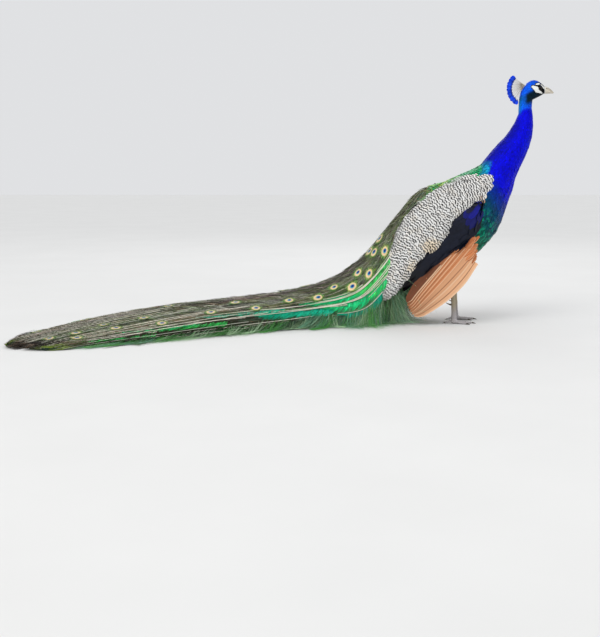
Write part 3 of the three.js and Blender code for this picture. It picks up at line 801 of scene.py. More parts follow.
def fine_skin():
    """The flesh's outer face as one closed mesh: coarse under the trunk's coat, finest on head and legs."""
    made = add_object("flesh", outer.mesh.copy())
    trunk = made.vertex_groups.new(name="trunk")
    heights = outer.points[:, 2]
    coated = np.flatnonzero((heights < FINE_ABOVE) & (heights > FINE_BELOW))
    trunk.add(coated.tolist(), 1.0, "REPLACE")
    thin = made.modifiers.new("thin", "DECIMATE")
    thin.ratio = TRUNK_SHARE
    thin.vertex_group = "trunk"
    work = bmesh.new()
    work.from_mesh(evaluated(made))
    for low, high, cuts in ((FINE_ABOVE, ABOVE_ALL, 2), (BELOW_ALL, FINE_BELOW, 1)):
        chosen = [edge for edge in work.edges if all(low < corner.co.z < high for corner in edge.verts)]
        bmesh.ops.subdivide_edges(work, edges=chosen, cuts=cuts, use_grid_fill=True)
    for low, high in ((FINE_ABOVE, ABOVE_ALL), (SOLE, FINE_BELOW)):
        chosen = [corner for corner in work.verts if low < corner.co.z < high]
        for _ in range(3):
            bmesh.ops.smooth_vert(
                work, verts=chosen, factor=0.5, use_axis_x=True, use_axis_y=True, use_axis_z=True,
            )
    bmesh.ops.triangulate(work, faces=work.faces)
    mesh = bpy.data.meshes.new("flesh")
    work.to_mesh(mesh)
    work.free()
    return Surface(mesh)


def make_skin():
    """Head, neck, trunk and legs under one skin, inside the coat by its depth, with the lids in the piece."""
    base = fine_skin()
    moved = base.points - base.normals * (coat_depth(base.points) - skin_relief(base.points))[:, None]
    moved[:, 2] = np.maximum(moved[:, 2], 0.0)
    groove = scaled_leg(*base.points[:, 1:].T) * (1 - scute_heights(base.points))
    points, tris, colours = [moved], [base.tris], [mix(plumage(base.points), LEG_DARK, 0.55 * groove)]
    start = len(moved)
    for _, side in SIDES:
        ring, ring_tris, ring_colours = lids(side)
        points.append(ring)
        tris.append(ring_tris + start)
        colours.append(ring_colours)
        start += len(ring)
    points = np.vstack(points)
    piece(
        "skin", points, np.vstack(tris), skin_finish(), {"OFBake": body_unwrap(points)}, np.vstack(colours),
        FLESH,
    )


outer = remeshed(FLESH, BODY_VOXEL, 4)
make_skin()

# -------------------- coat of the head, neck and trunk
TRAIN_NODES = ["train_root", "train_upper", "train_middle", "train_end"]
wing_surfaces = [remeshed(["wing_shield_" + side, "wing_band_" + side], WING_VOXEL, 6) for side, _ in SIDES]
train_surface = remeshed(TRAIN_NODES, TRAIN_VOXEL, 6)


def wing_place(x, z, line):
    """The share of a wing's line passed, how many half widths above it, and the way to its tip."""
    share = np.linspace(0, 1, WING_STEPS)
    fine = spline(line, share)
    gap = np.hypot(x[:, None] - fine[None, :, 0], z[:, None] - fine[None, :, 1])
    nearest = gap.argmin(1)
    heading = unit(np.gradient(fine[:, :2], axis=0))[nearest]
    length = lengths_along(fine[:, :2])
    over = (x - fine[nearest, 0]) * heading[:, 1] - (z - fine[nearest, 1]) * heading[:, 0]
    return length[nearest] / length[-1], over / fine[nearest, 2], heading


WING_OUT = 0.030  # what lies nearer the middle than this is the back, not a wing
SHOULDER_LENGTH = 0.26  # the share of the shield's line that lies over the shoulder
COAT_LIFT, COAT_CLEARANCE = 0.004, 0.001  # how far a feather stands up, and its least distance from a wing


def on_shoulder(p):
    """The sides of the body that the front corners of the wings' pale shields lie over."""
    x, y, z = p.T
    share, offset, _ = wing_place(x, z, SHIELD_LINE)
    front = np.minimum(0.114 - 0.50 * (0.479 - z), 0.094 - 0.77 * (0.441 - z))
    return (share < SHOULDER_LENGTH) & (offset < 1.05) & (np.abs(y) > WING_OUT) & (x < front)


def uncovered(points, normals):
    """Which points of the body no wing and no train lies over."""
    lifted = points + normals * COAT_LIFT
    clear = ~on_shoulder(points)
    for surface in (train_surface, *wing_surfaces):
        clear &= surface.far_from(lifted, COAT_CLEARANCE)
    return clear


def body_coat(name, keep, gap, seed, length, width, outline, slot, material, tilt, spread=0.12):
    """One stretch of the body's coat. length and width are in gaps between roots; gap varies with place."""
    rng = np.random.default_rng(seed)
    points, normals = outer.scatter(gap, rng, keep)
    clear = uncovered(points, normals)
    points, normals = points[clear], normals[clear]
    tangent, _, _ = spine_frame(points)
    lies = along_surface(tangent + rng.normal(0, spread, points.shape), normals)
    size = gap(points) * near_one(rng, 0.10, len(points), 0.75, 1.3)
    grid, u, v = feather_grid(
        points, normals, lies, size * length, size * width, outline,
        tilt=tilt + rng.normal(0, 0.02, len(points)), cup=0.12, bend=3.0,
    )
    feather_piece(
        name, grid, u, v, plumage(points, rng), body_unwrap(points), material, size * length, slot,
    )


def between(low, high):
    """A test of which points lie between two heights."""
    return lambda p: (p[:, 2] >= low) & (p[:, 2] < high)


def widening(least, more, start, end, axis=2):
    """A gap that grows from least by more between two places along an axis."""
    return lambda p: least + more * smooth(start, end, p[:, axis])


def head_places(p):
    """The feathered face and crown: not the bill's base, the eyes or the white bare skin."""
    x, y, z = p.T
    white, _ = face_marks(p)
    at_eye = (np.hypot(x - EYE[0], z - EYE[2]) < 0.0068) & (np.abs(y) > 0.008)
    return (z >= 0.725) & (x + 0.12 * (z - 0.76) < 0.2785) & (white < 0.4) & ~at_eye


def on_mantle(p):
    """The back between the wings, behind the seam where the neck's blue ends."""
    _, _, angle = spine_frame(p)
    return (np.cos(angle) > 0.05) & (p[:, 0] - 0.55 * (p[:, 2] - 0.520) < 0.108) & (p[:, 2] < 0.53)


def on_thigh(p):
    """The outside of the thighs, down to the ankles."""
    x, y, z = p.T
    return (z < 0.262) & (z > 0.160) & (np.abs(y) > 0.020) & (x < 0.085) & (x > -0.05)


NECK_LINE = 0.60
BREAST_LINE = 0.43
velvet = plume_finish("velvet_plumes", 0.42, 0.55, 0.0009, 0.002, edge=-0.10)
scaled = plume_finish("scaled_plumes", 0.38, 0.50, 0.0012, 0.004, edge=-0.45)
mantle = plume_finish("mantle_plumes", 0.36, 0.45, 0.0016, 0.006, edge=-0.75)
thigh_down = plume_finish("thigh_down", 0.8, 0.0, 0.0016, 0.006)

body_coat(
    "head_feathers", head_places, widening(0.0012, 0.0006, 0.262, 0.225, 0), 11,
    3.4, 1.5, HAIR_TIP, "blue_plumage", velvet, 0.16,
)
body_coat(
    "upper_neck_feathers", between(NECK_LINE, 0.727), widening(0.0018, 0.0012, 0.72, 0.60), 12,
    3.6, 1.6, ROUND_TIP, "blue_plumage", velvet, 0.11,
)
body_coat(
    "lower_neck_feathers", lambda p: between(BREAST_LINE, NECK_LINE)(p) & ~on_mantle(p),
    widening(0.0030, 0.0018, 0.60, 0.45), 13, 3.6, 1.7, ROUND_TIP, "deep_blue_plumage", velvet, 0.10,
)
body_coat(
    "breast_feathers", lambda p: between(0.165, BREAST_LINE)(p) & ~on_mantle(p) & ~on_thigh(p),
    widening(0.0050, 0.0016, 0.42, 0.30), 14, 3.4, 1.8, ROUND_TIP, "teal_plumage", scaled, 0.11,
)
body_coat(
    "mantle_feathers", on_mantle, widening(0.0062, 0.0022, 0.09, -0.02, 0), 15,
    3.0, 1.9, BLUNT_TIP, "green_plumage", mantle, 0.12,
)
body_coat(
    "thigh_feathers", on_thigh, widening(0.0040, 0.0015, 0.17, 0.22), 16,
    4.0, 1.5, POINTED_TIP, "fawn_plumage", thigh_down, 0.14, spread=0.2,
)

# -------------------- wings
# The lines down the middle of the dark band and of the folded primaries, as x, z and half width.
BAND_LINE = np.array([
    (0.073, 0.395, 0.008), (0.054, 0.369, 0.034), (0.028, 0.334, 0.052), (-0.012, 0.300, 0.050),
    (-0.048, 0.255, 0.036), (-0.093, 0.215, 0.035), (-0.136, 0.177, 0.030), (-0.171, 0.137, 0.017),
    (-0.185, 0.111, 0.006),
])
QUILL_LINE = np.array([
    (0.050, 0.292, 0.016), (0.031, 0.248, 0.035), (0.007, 0.209, 0.049), (-0.022, 0.174, 0.055),
    (-0.060, 0.135, 0.053), (-0.103, 0.098, 0.045), (-0.134, 0.069, 0.034), (-0.150, 0.048, 0.020),
    (-0.155, 0.038, 0.010),
])
COVERT_WHITE = srgb(228, 228, 226)
COVERT_CREAM = srgb(236, 214, 178)
COVERT_GREY = srgb(140, 130, 118)
BUFF = srgb(222, 178, 152)
COVERT_BLACK = (0.010, 0.009, 0.010)
INK = srgb(13, 18, 34)
INK_HIGHLIGHT = srgb(2, 12, 190)
CINNAMON = srgb(208, 132, 84)
CINNAMON_PALE = srgb(238, 196, 158)
CINNAMON_DARK = srgb(122, 66, 36)
PEACH = srgb(232, 178, 136)
RUFOUS = srgb(190, 106, 58)


def wing_unwrap(share, offset):
    """A place for each root on a wing's unwrap."""
    return np.stack([0.05 + 0.9 * share, 0.5 + 0.38 * np.clip(offset, -1.2, 1.2)], 1)


def barred_finish():
    """Pale coverts crossed by wavy black bars that point at the tip, broken up here and there."""
    finish = Finish("barred_coverts", 0.62, Specular_IOR_Level=0.25)
    u, v = finish.map("vane")
    across = (u - 0.5).magnitude() * 2
    wobble = finish.noise(finish.vector(u * 2.2, v * 90.0), 1.0, 2.0)
    broken = finish.noise(finish.place(), 170.0, 1.0).step(0.28, 0.38)
    bar = (v - across * 0.0034 + wobble * 0.0052).ripple(BAR_GAP).step(0.46, 0.68) * broken
    barbs = (v - across * 0.006).ripple(0.0011)
    paint = finish.node("VertexColor", {"layer_name": "plume"})
    colour = finish.shaded(paint.outputs["Color"], 0.88 + barbs * 0.16)
    finish.feed(Base_Color=finish.tint(colour, COVERT_BLACK, bar * Wire(paint.outputs["Alpha"])))
    finish.bump(barbs, 0.0003, 0.5)
    return finish.material


def quill_finish():
    """Long stiff vanes: fine slanting barbs, a dark shaft, a pale lower edge, and painted shade along the
    upper edge where the quill above overlaps it.
    """
    finish = Finish("cinnamon_quills", 0.55, Specular_IOR_Level=0.3)
    u, v = finish.map("vane")
    barbs = (v + u * 0.034).ripple(0.0020)
    streaks = finish.noise(finish.vector(u * 16.0, v * 5.0), 1.0, 3.0)
    colour = finish.shaded(finish.plume(), 0.80 + barbs * 0.10 + streaks * 0.26)
    shaft = 1 - (u - 0.66).magnitude().step(0.012, 0.045)
    colour = finish.tint(colour, CINNAMON_DARK, shaft * 0.75)
    # Painted shade: the upper edge of each vane, which lies under the quill above, is darkened.
    colour = finish.tint(colour, CINNAMON_DARK, (1 - u.step(0.0, 0.30)) * 0.35)
    colour = finish.tint(colour, CINNAMON_PALE, u.step(0.84, 0.94) * 0.85)
    finish.feed(Base_Color=colour)
    finish.bump(barbs * 0.4 + shaft, 0.0006, 0.6)
    return finish.material


BAR_GAP = 0.0088  # from one dark bar of the coverts to the next
barred = barred_finish()
quill = quill_finish()
ink = plume_finish("ink_plumes", 0.36, 0.35, 0.0014, 0.006, edge=0.35, shine=0.3)


def wing_coat(
    name, surface, side, line, gap, seed, length, width, outline, slot, material, colour_at, fan, replaced,
):
    """Overlapping feathers over the outside of one plate of a wing, painted by colour_at."""
    rng = np.random.default_rng(seed)
    gaps = lambda p: np.full(len(p), gap)
    outward = lambda p: p[:, 1] * side > WING_OUT
    points, normals = surface.scatter(gaps, rng, outward, crowd=8)
    facing = normals[:, 1] * side > -0.55
    points, normals = points[facing], normals[facing]
    if line is SHIELD_LINE:
        corner = lambda p: on_shoulder(p) & (p[:, 1] * side > 0)
        added, added_normals = outer.scatter(gaps, rng, corner)
        points = np.vstack([points, added + added_normals * 0.0015])
        normals = np.vstack([normals, added_normals])
    share, offset, heading = wing_place(points[:, 0], points[:, 2], line)
    turn = fan * offset + rng.normal(0, 0.07, len(points))
    lie_x = heading[:, 0] * np.cos(turn) - heading[:, 1] * np.sin(turn)
    lie_z = heading[:, 0] * np.sin(turn) + heading[:, 1] * np.cos(turn)
    lies = along_surface(np.stack([lie_x, 0 * lie_x, lie_z], 1), normals)
    size = rng.normal(1, 0.08, len(points))
    standing = smooth(0.10, 0.45, np.maximum(lies[:, 1] * side, lies[:, 2]))
    shorter = (1 - 0.35 * smooth(0.80, 1.0, share)) * (1 - 0.6 * standing)
    lengths = length * size * shorter
    grid, u, v = feather_grid(
        points, normals, lies, lengths, width * size, outline, columns=5,
        tilt=0.055 + rng.normal(0, 0.01, len(points)), cup=0.10, bend=1.2,
    )
    colours = colour_at(share, offset, points[:, 0], points[:, 2], rng)
    v = v + (rng.random(len(points)) * BAR_GAP / lengths)[:, None, None]
    feather_piece(
        name, grid, u, v, colours, wing_unwrap(share, offset), material, lengths, slot, replaced,
    )


def shield_colours(share, offset, x, z, rng):
    """Colours of the pale coverts, with the strength of their bars as a fourth number."""
    warm = np.maximum(
        smooth(0.040, 0.010, np.hypot(x + 0.086, z - 0.262)),
        smooth(0.030, 0.0, np.hypot(x + 0.143, z - 0.194)),
    )
    colour = mix(COVERT_WHITE, COVERT_CREAM, 0.75 * warm)
    colour = mix(colour, BUFF, smooth(0.016, 0.006, np.hypot(x - 0.070, z - 0.400)))
    colour = mix(colour, COVERT_CREAM, 0.22 * rng.random(len(x)) ** 3)
    grey = np.maximum(smooth(0.66, 0.95, offset) * smooth(0.45, 0.7, share), 0.4 * smooth(0.90, 1.0, share))
    colour = mix(colour, COVERT_GREY, 0.8 * grey)
    green = smooth(0.93, 1.0, offset) * smooth(0.5, 0.4, share) * smooth(0.16, 0.22, share)
    colour = mix(colour, 0.6 * mix(EMERALD, GOLD_GREEN, 0.5 * rng.random(len(x))), green)
    bars = (1 - 0.9 * grey) * (1 - green) * np.clip(rng.normal(0.95, 0.05, len(x)), 0.7, 1)
    light = near_one(rng, 0.06, len(x), 0.8, 1.15)[:, None]
    return np.concatenate([colour * light, bars[:, None]], 1)


def band_colours(share, offset, x, z, rng):
    """Colours of the dark band, with a painted highlight of glossy blue near its front. They are the same
    whatever the offset.
    """
    # Painted highlight: a blue sheen on the feathers near the band's front.
    highlight_share = smooth(0.032, 0.0, np.hypot(x - 0.046, z - 0.362)) * (0.4 + 0.6 * rng.random(len(x)))
    colour = mix(INK, INK_HIGHLIGHT, highlight_share)
    colour = mix(colour, srgb(22, 22, 26), smooth(0.5, 0.9, share))
    return colour * near_one(rng, 0.15, len(x), 0.6, 1.5)[:, None]


# Where the folded primaries leave the band and where they end, as x and z, from the top one down.
QUILL_ROOTS = ((-0.064, 0.206), (-0.012, 0.250), (0.030, 0.256), (0.046, 0.226), (0.050, 0.204))
QUILL_TIPS = ((-0.165, 0.076), (-0.160, 0.058), (-0.152, 0.043), (-0.145, 0.034), (-0.138, 0.028))
# Each primary's place between the uppermost and the lowest, and half the width of its vane.
QUILLS = (
    (0.0, 0.016), (0.16, 0.013), (0.29, 0.011), (0.40, 0.010), (0.50, 0.011), (0.67, 0.021), (0.92, 0.024),
)


def primaries(side_name, side, surface, seed):
    """The folded primaries: long vanes side by side, each a little over the one below it."""
    rng = np.random.default_rng(seed)
    rows, columns = 30, 7
    v = np.linspace(0, 1, rows)
    u = np.linspace(-1, 1, columns)
    grids, colours, roots = [], [], []
    for index, (place, half_width) in enumerate(QUILLS):
        root, end = (spline(line, np.array([place]))[0] for line in (QUILL_ROOTS, QUILL_TIPS))
        run = end - root
        below = np.array([-run[1], run[0]]) / np.hypot(*run)
        bow = -0.007 + 0.026 * place**2
        middle = root + run * v[:, None] + below * (bow * 4 * v * (1 - v))[:, None]
        heading = unit(np.gradient(middle, axis=0))
        over = np.stack([-heading[:, 1], heading[:, 0]], 1)
        tip = np.clip((1 - v) / 0.09, 0, 1) ** 0.6
        narrowed = half_width * (1 - 0.35 * smooth(0.45, 1.0, v)) * (0.75 + 0.25 * smooth(0.0, 0.3, v))
        across = (narrowed * tip + 0.0005)[:, None] * u[None]
        x = middle[:, 0][:, None] + over[:, 0][:, None] * across
        z = middle[:, 1][:, None] + over[:, 1][:, None] * across
        spots, _ = surface.from_side(x.ravel(), z.ravel(), side)
        lift = 0.0010 * (len(QUILLS) - index) + 0.0007 * (1 - np.abs(u))[None] + 0.0008 * u[None]
        grids.append(np.stack([x, spots[:, 1].reshape(x.shape) + side * lift, z], -1))
        # The uppermost quills are painted darker, as painted shade under the dark band; each quill also
        # darkens a little towards its tip.
        base = layered(
            mix(CINNAMON_DARK * 0.62, CINNAMON, smooth(-0.05, 0.36, place)),
            (PEACH, smooth(0.45, 0.8, place)), (CINNAMON_DARK, 0.35 * smooth(0.5, 1.0, v)),
        )
        colours.append(np.broadcast_to(base[:, None] * rng.normal(1, 0.04), x.shape + (3,)))
        roots.append((0.1, 0.2 + 0.6 * place))
    feather_piece(
        "primaries_" + side_name, np.array(grids), *over_vanes((u + 1) / 2, v, len(QUILLS)),
        np.array(colours), np.array(roots), quill, 0.26, "cinnamon_plumage", ["wing_quills_" + side_name],
    )


def rufous_coverts(side_name, side, surface, seed):
    """Small pointed rufous feathers over the roots of the primaries, in front of the folded wing."""
    rng = np.random.default_rng(seed)
    count = 22
    down = np.sort(rng.random(count))
    x = 0.058 - 0.010 * down - 0.030 * rng.random(count) * (1 - down)
    z = 0.290 - 0.086 * down + rng.normal(0, 0.003, count)
    points, _ = surface.from_side(x, z, side)
    points[:, 1] += side * (0.0060 - 0.0030 * down + rng.random(count) * 0.0008)
    normals = np.tile((0.0, side, 0.0), (count, 1))
    slope = np.radians(-133 + rng.normal(0, 7, count))
    lies = np.stack([np.cos(slope), 0 * slope, np.sin(slope)], 1)
    lengths = 0.046 * near_one(rng, 0.15, count, 0.7, 1.4)
    grid, u, v = feather_grid(
        points, normals, lies, lengths, 0.0135, POINTED_TIP, columns=5, tilt=0.02, cup=0.15, bend=1.0,
        root=0.25,
    )
    colours = mix(RUFOUS, CINNAMON, rng.random(count)) * rng.normal(1, 0.08, (count, 1))
    share, offset, _ = wing_place(points[:, 0], points[:, 2], QUILL_LINE)
    feather_piece(
        "rufous_coverts_" + side_name, grid, u, v, colours, wing_unwrap(share, offset), quill, lengths,
        "cinnamon_plumage",
    )


for side_name, side in SIDES:
    shield_surface, band_surface, quill_surface = (
        remeshed([node + side_name], WING_VOXEL, 8) for node in ("wing_shield_", "wing_band_", "wing_quills_")
    )
    wing_coat(
        "coverts_" + side_name, shield_surface, side, SHIELD_LINE, 0.0105, 21, 0.034, 0.021, BLUNT_TIP,
        "barred_plumage", barred, shield_colours, 0.10, ["wing_shield_" + side_name],
    )
    wing_coat(
        "band_feathers_" + side_name, band_surface, side, BAND_LINE, 0.014, 22, 0.062, 0.024, ROUND_TIP,
        "dark_blue_plumage", ink, band_colours, 0.06, ["wing_band_" + side_name],
    )
    primaries(side_name, side, quill_surface, 23)
    rufous_coverts(side_name, side, quill_surface, 24)

# -------------------- the train's own coordinates
# A place on the train is a share t of its length, an angle a round it from its top (the bird's left is
# positive) and a radius r, which is 1 on its outside.
TRAIN_TABLE = np.linspace(0, 1, 1200)
train_top = spline(TRAIN[:, [0, 4, 1]], TRAIN_TABLE)
train_under = spline(TRAIN[:, [2, 4, 3]], TRAIN_TABLE)
# Towards the end the feathers keep closer to this half width than the train's outline does.
BLUNT_WIDTH = np.interp(0.80, TRAIN_TABLE, (train_top[:, 1] + train_under[:, 1]) / 2)
LEAST_SPEEDS = 0.2, 0.01  # the least that the two speeds count as


def swept(x, y, z):
    """Bends the straight train round in plan, towards the bird's right."""
    rate = SWEEP_TURN / SWEEP_LENGTH
    turned = np.maximum(SWEEP_FROM - x, 0) * rate
    bent = turned > 0
    bent_x = SWEEP_FROM - np.sin(turned) / rate - y * np.sin(turned)
    bent_y = -(1 - np.cos(turned)) / rate + y * np.cos(turned)
    return np.stack([np.where(bent, bent_x, x), np.where(bent, bent_y, y), z], -1)


BOX_LOW, BOX_HIGH = (np.array(corner) - FEET for corner in CAD_BOX)


def kept_in(points, edge=0.012):
    """Softly draws in the few points that would stick out sideways or backwards from the model's box."""
    for axis in (0, 1):
        for way, limit in ((1, BOX_HIGH[axis] - edge), (-1, BOX_LOW[axis] + edge)):
            over = np.maximum(way * (points[..., axis] - limit), 0)
            points[..., axis] -= way * (over - 1.5 * edge * (1 - np.exp(-over / (1.5 * edge))))
    return points


def train_point(t, a, r):
    """The point at a place on the train, bent round with it."""
    t, a, r = np.broadcast_arrays(t, a, r)
    past = np.maximum(t - 1, 0)
    top_x, top_w, top_z = (np.interp(t, TRAIN_TABLE, train_top[:, k]) for k in range(3))
    low_x, low_w, low_z = (np.interp(t, TRAIN_TABLE, train_under[:, k]) for k in range(3))
    lift = np.cos(a)
    height = np.where(lift > 0, np.abs(lift) ** 0.9, 0.6 * lift)
    rise = 0.38 + 0.62 * height * r
    x = low_x + (top_x - low_x) * rise - past * 1.0
    z = (low_z + (top_z - low_z) * rise) * (1 - 0.6 * smooth(0.86, 1.0, t))
    width = (top_w + low_w) / 2
    width = width + 0.38 * np.maximum(BLUNT_WIDTH - width, 0) * smooth(0.78, 0.92, t)
    return kept_in(swept(x, np.sin(a) * width * r, z))


def train_frame(t, a, r):
    """Point, outward normal, way to the end, and two speeds: metres for one whole t, and for one radian."""
    step = 2e-3
    along = (train_point(t + step, a, r) - train_point(t - step, a, r)) / (2 * step)
    round_it = (train_point(t, a + step, r) - train_point(t, a - step, r)) / (2 * step)
    speeds = (
        np.maximum(np.linalg.norm(way, axis=-1), least) for way, least in zip((along, round_it), LEAST_SPEEDS)
    )
    return train_point(t, a, r), unit(np.cross(round_it, along)), unit(along), *speeds


def train_unwrap(t, a):
    """A place for each root on the train's unwrap: angle round it against share of its length."""
    return 0.03 + 0.94 * np.stack([(a + np.pi) / (2 * np.pi), np.clip(t, 0, 1)], -1)


class Shafts:
    """Feather shafts along the train: shares where each starts and ends, angles there, and a radius."""

    def __init__(self, starts, ends, start_angles, end_angles, radii, sway, rng, spread=0.0):
        self.count = len(ends)
        self.spread = spread
        self.starts, self.ends = starts, ends
        self.start_angles, self.end_angles, self.radii = start_angles, end_angles, radii
        self.sway = sway * rng.normal(0, 1, self.count)
        self.phase = rng.random(self.count) * 2 * np.pi
        steps = 48
        share = np.linspace(0, 1, steps)[None]
        self.path = self.at(np.arange(self.count)[:, None], share)
        points = train_point(*self.path)
        gaps = np.linalg.norm(np.diff(points, axis=1), axis=2)
        self.length = np.concatenate([np.zeros((self.count, 1)), np.cumsum(gaps, axis=1)], axis=1)
        self.total = self.length[:, -1]

    def at(self, feather, share):
        """(t, a, r) at a share of a feather's length."""
        t = self.starts[feather] + (self.ends[feather] - self.starts[feather]) * share
        a = self.start_angles[feather] + (self.end_angles[feather] - self.start_angles[feather]) * share
        a = a + self.sway[feather] * np.sin(share * 5.0 + self.phase[feather]) * share
        return t, a, self.radii[feather] * (1 + self.spread * smooth(0.86, 1.0, t))

    def stations(self, gap, first=0.0, last=0.0):
        """Places every gap metres, from first to last metres before the tip: feather, share, metres left."""
        feathers, shares, left = [], [], []
        for index in range(self.count):
            begin = max(self.total[index] - first, 0.0) if first else 0.0
            spots = np.arange(begin, self.total[index] - last, gap)
            feathers.append(np.full(len(spots), index))
            shares.append(np.interp(spots, self.length[index], np.linspace(0, 1, self.length.shape[1])))
            left.append(self.total[index] - spots)
        return np.concatenate(feathers), np.concatenate(shares), np.concatenate(left)


def strands(t, a, r, way, length, slant, width, rise, rng, curl, twist):
    """Loose barbs, each two flat steps long: root pair, middle pair, tip. way is the side they leave on."""
    point, out, _, speed_t, speed_a = train_frame(t, a, r)
    lean = slant * curl
    middle_t = t + 0.5 * length * np.cos(slant) / speed_t
    middle_a = a + way * 0.5 * length * np.sin(slant) / speed_a
    tip_t = middle_t + 0.5 * length * np.cos(lean) / speed_t
    tip_a = middle_a + way * 0.5 * length * np.sin(lean) / speed_a
    limit = 1.0 + 0.012 * rng.random(len(t))
    middle = train_point(np.minimum(middle_t, limit), middle_a, r) + out * rise[:, None] * 0.7
    tip = train_point(np.minimum(tip_t, limit), tip_a, r) + out * rise[:, None]
    heading = unit(middle - point)
    flat = unit(np.cross(out, heading))
    turn = (twist * rng.normal(0, 1, len(t)))[:, None]
    edge = (flat * np.cos(turn) + out * np.sin(turn)) * width[:, None] / 2
    corners = np.stack([point - edge * 0.8, point + edge * 0.8, middle - edge, middle + edge, tip], 1)
    floor = FLOOR_CLEARANCE + 0.003 * rng.random(len(t))[:, None]
    corners[..., 2] = np.where(corners[..., 2] < floor, floor, corners[..., 2])
    return corners


STRAND_FACES = np.array([(0, 1, 3), (0, 3, 2), (2, 3, 4)])


def strand_piece(name, corners, colours, tips, roots, material):
    """A piece of many barbs. colours are at their roots and tips at their ends."""
    count = len(corners)
    faces = repeated(STRAND_FACES, 5, count)
    shares = np.array([0, 0, 0.5, 0.5, 1])
    plume = mix(colours[:, None], tips[:, None], np.broadcast_to(shares, (count, 5)))
    u = np.array([0, 1, 0, 1, 0.5])
    spots = np.broadcast_to(np.stack([u, shares], -1)[None], (count, 5, 2))
    piece(name, corners, faces, material, {"OFBake": roots[:, None] + PATCH * (spots - 0.5)}, plume)


def strand_finish(name, roughness, metallic, shine):
    """Barbs and shafts in the colours of their own attribute, lightly flecked."""
    finish = Finish(name, roughness, metallic, Specular_IOR_Level=shine)
    fleck = finish.noise(finish.place(), 420.0, 2.0)
    finish.feed(Base_Color=finish.shaded(finish.plume(), 0.7 + fleck * 0.6))
    return finish.material


SHAFT_STEPS = 44


def shaft_piece(name, shafts, thick, thin, first, colour, lift=0.0010):
    """Pale tapering shafts, four sided, over their last `first` metres."""
    begin = np.maximum(shafts.total - first, 0) / shafts.total
    share = begin[:, None] + (1 - begin[:, None]) * np.linspace(0, 1, SHAFT_STEPS)[None]
    t, a, r = shafts.at(np.arange(shafts.count)[:, None], share)
    point, out, along, _, _ = train_frame(t, a, r)
    side = unit(np.cross(out, along))
    radius = (thin + (thick - thin) * (1 - share) ** 0.8)[..., None]
    corners = np.stack([
        point + out * (lift + radius * np.cos(k)) + side * radius * np.sin(k)
        for k in np.linspace(0, 2 * np.pi, 4, endpoint=False)
    ], 2)
    corners[..., 2] = np.maximum(corners[..., 2], FLOOR_CLEARANCE)
    caps = np.array([[3, 2, 1, 0], [(SHAFT_STEPS - 1) * 4 + k for k in range(4)]])
    faces = repeated(np.concatenate([ring_faces(SHAFT_STEPS, 4), caps]), SHAFT_STEPS * 4, shafts.count)
    spots = np.broadcast_to(train_unwrap(t, a)[:, :, None], corners.shape[:3] + (2,))
    plume = np.broadcast_to(colour[:, None, None], corners.shape)
    piece(name, corners, faces, shaft_horn, {"OFBake": spots}, plume)


# -------------------- train feathers
BRONZE = srgb(128, 108, 88)
UMBER = srgb(46, 38, 32)
OLIVE = srgb(96, 106, 66)
MAUVE = srgb(146, 130, 130)
SILVER = srgb(172, 174, 160)
DEEP_GREEN = srgb(22, 92, 62)
LEAF = srgb(84, 158, 76)
GREY_GREEN = srgb(112, 162, 130)
PALE_GREEN = srgb(158, 190, 150)
MOSS = srgb(92, 128, 84)
DARK_GREEN = srgb(20, 60, 44)
VIVID = srgb(4, 200, 124)
VIVID_BLUE = srgb(4, 176, 146)
VIVID_LEAF = srgb(58, 200, 92)
IVORY = srgb(226, 220, 204)
HORN = srgb(128, 114, 92)
EYE_WIDTH = 0.034
EYE_STRETCH = 1.15  # the eye spots are this much longer than wide
LAST_T = 1.01  # no part of an eye spot lies further along the train


def pick(colours, rng, count, spread=0.12):
    """A random colour from the list for each feather, with a slight spread of brightness."""
    chosen = np.array(colours)[rng.integers(0, len(colours), count)]
    return chosen * near_one(rng, spread, count, 0.6, 1.5)[:, None]


def plume_strands(
    shafts, gap, length, slant, width, colours, rng, first=0.0, last=0.0, sides=(-1, 1), rise=0.002,
    fringe=1.0, curl=0.6, jitter=0.08, twist=0.5, clumps=0.0,
):
    """Barbs down every shaft's sides. They shorten by fringe at its tip, and clumps gathers them in locks,
    which are painted lighter where they stand up and darker between them, as painted light and shade.
    """
    corners, roots, paints = [], [], []
    for way in sides:
        feather, share, left = shafts.stations(gap, first, last)
        count = len(feather)
        t, a, r = shafts.at(feather, share)
        shorter = fringe + (1 - fringe) * smooth(0.0, 0.10, left)
        lengths = length * shorter * near_one(rng, 0.15 + 0.3 * clumps, count, 0.4, 1.7)
        lock = np.sin(left * 190 + feather * 5.1 + way) * np.sin(left * 71 + feather * 2.3)
        slants = slant * (1 + 0.7 * clumps * lock) + rng.normal(0, jitter, count)
        rises = rise * (0.4 + 1.2 * rng.random(count)) * (1 + clumps * (1 + 1.4 * lock))
        corners.append(strands(
            t, a, r, way, lengths, slants, width * near_one(rng, 0.15, count, 0.6, 1.5), rises, rng,
            curl=curl, twist=twist,
        ))
        roots.append(train_unwrap(t, a))
        # Each barb's brightness spreads at random; with clumps, the locks that stand up are also painted
        # lighter and the gaps between them darker, as painted light and shade.
        light = np.clip(rng.normal(1, 0.15, count) * (1 + 0.8 * clumps * lock), 0.35, 1.8)
        paints.append(colours[feather] * light[:, None])
    return np.concatenate(corners), np.concatenate(paints), np.concatenate(roots)


strand = strand_finish("train_barbs", 0.50, 0.25, 0.3)
vivid = strand_finish("sword_barbs", 0.34, 0.45, 0.3)
shaft_horn = strand_finish("shafts", 0.45, 0.0, 0.4)


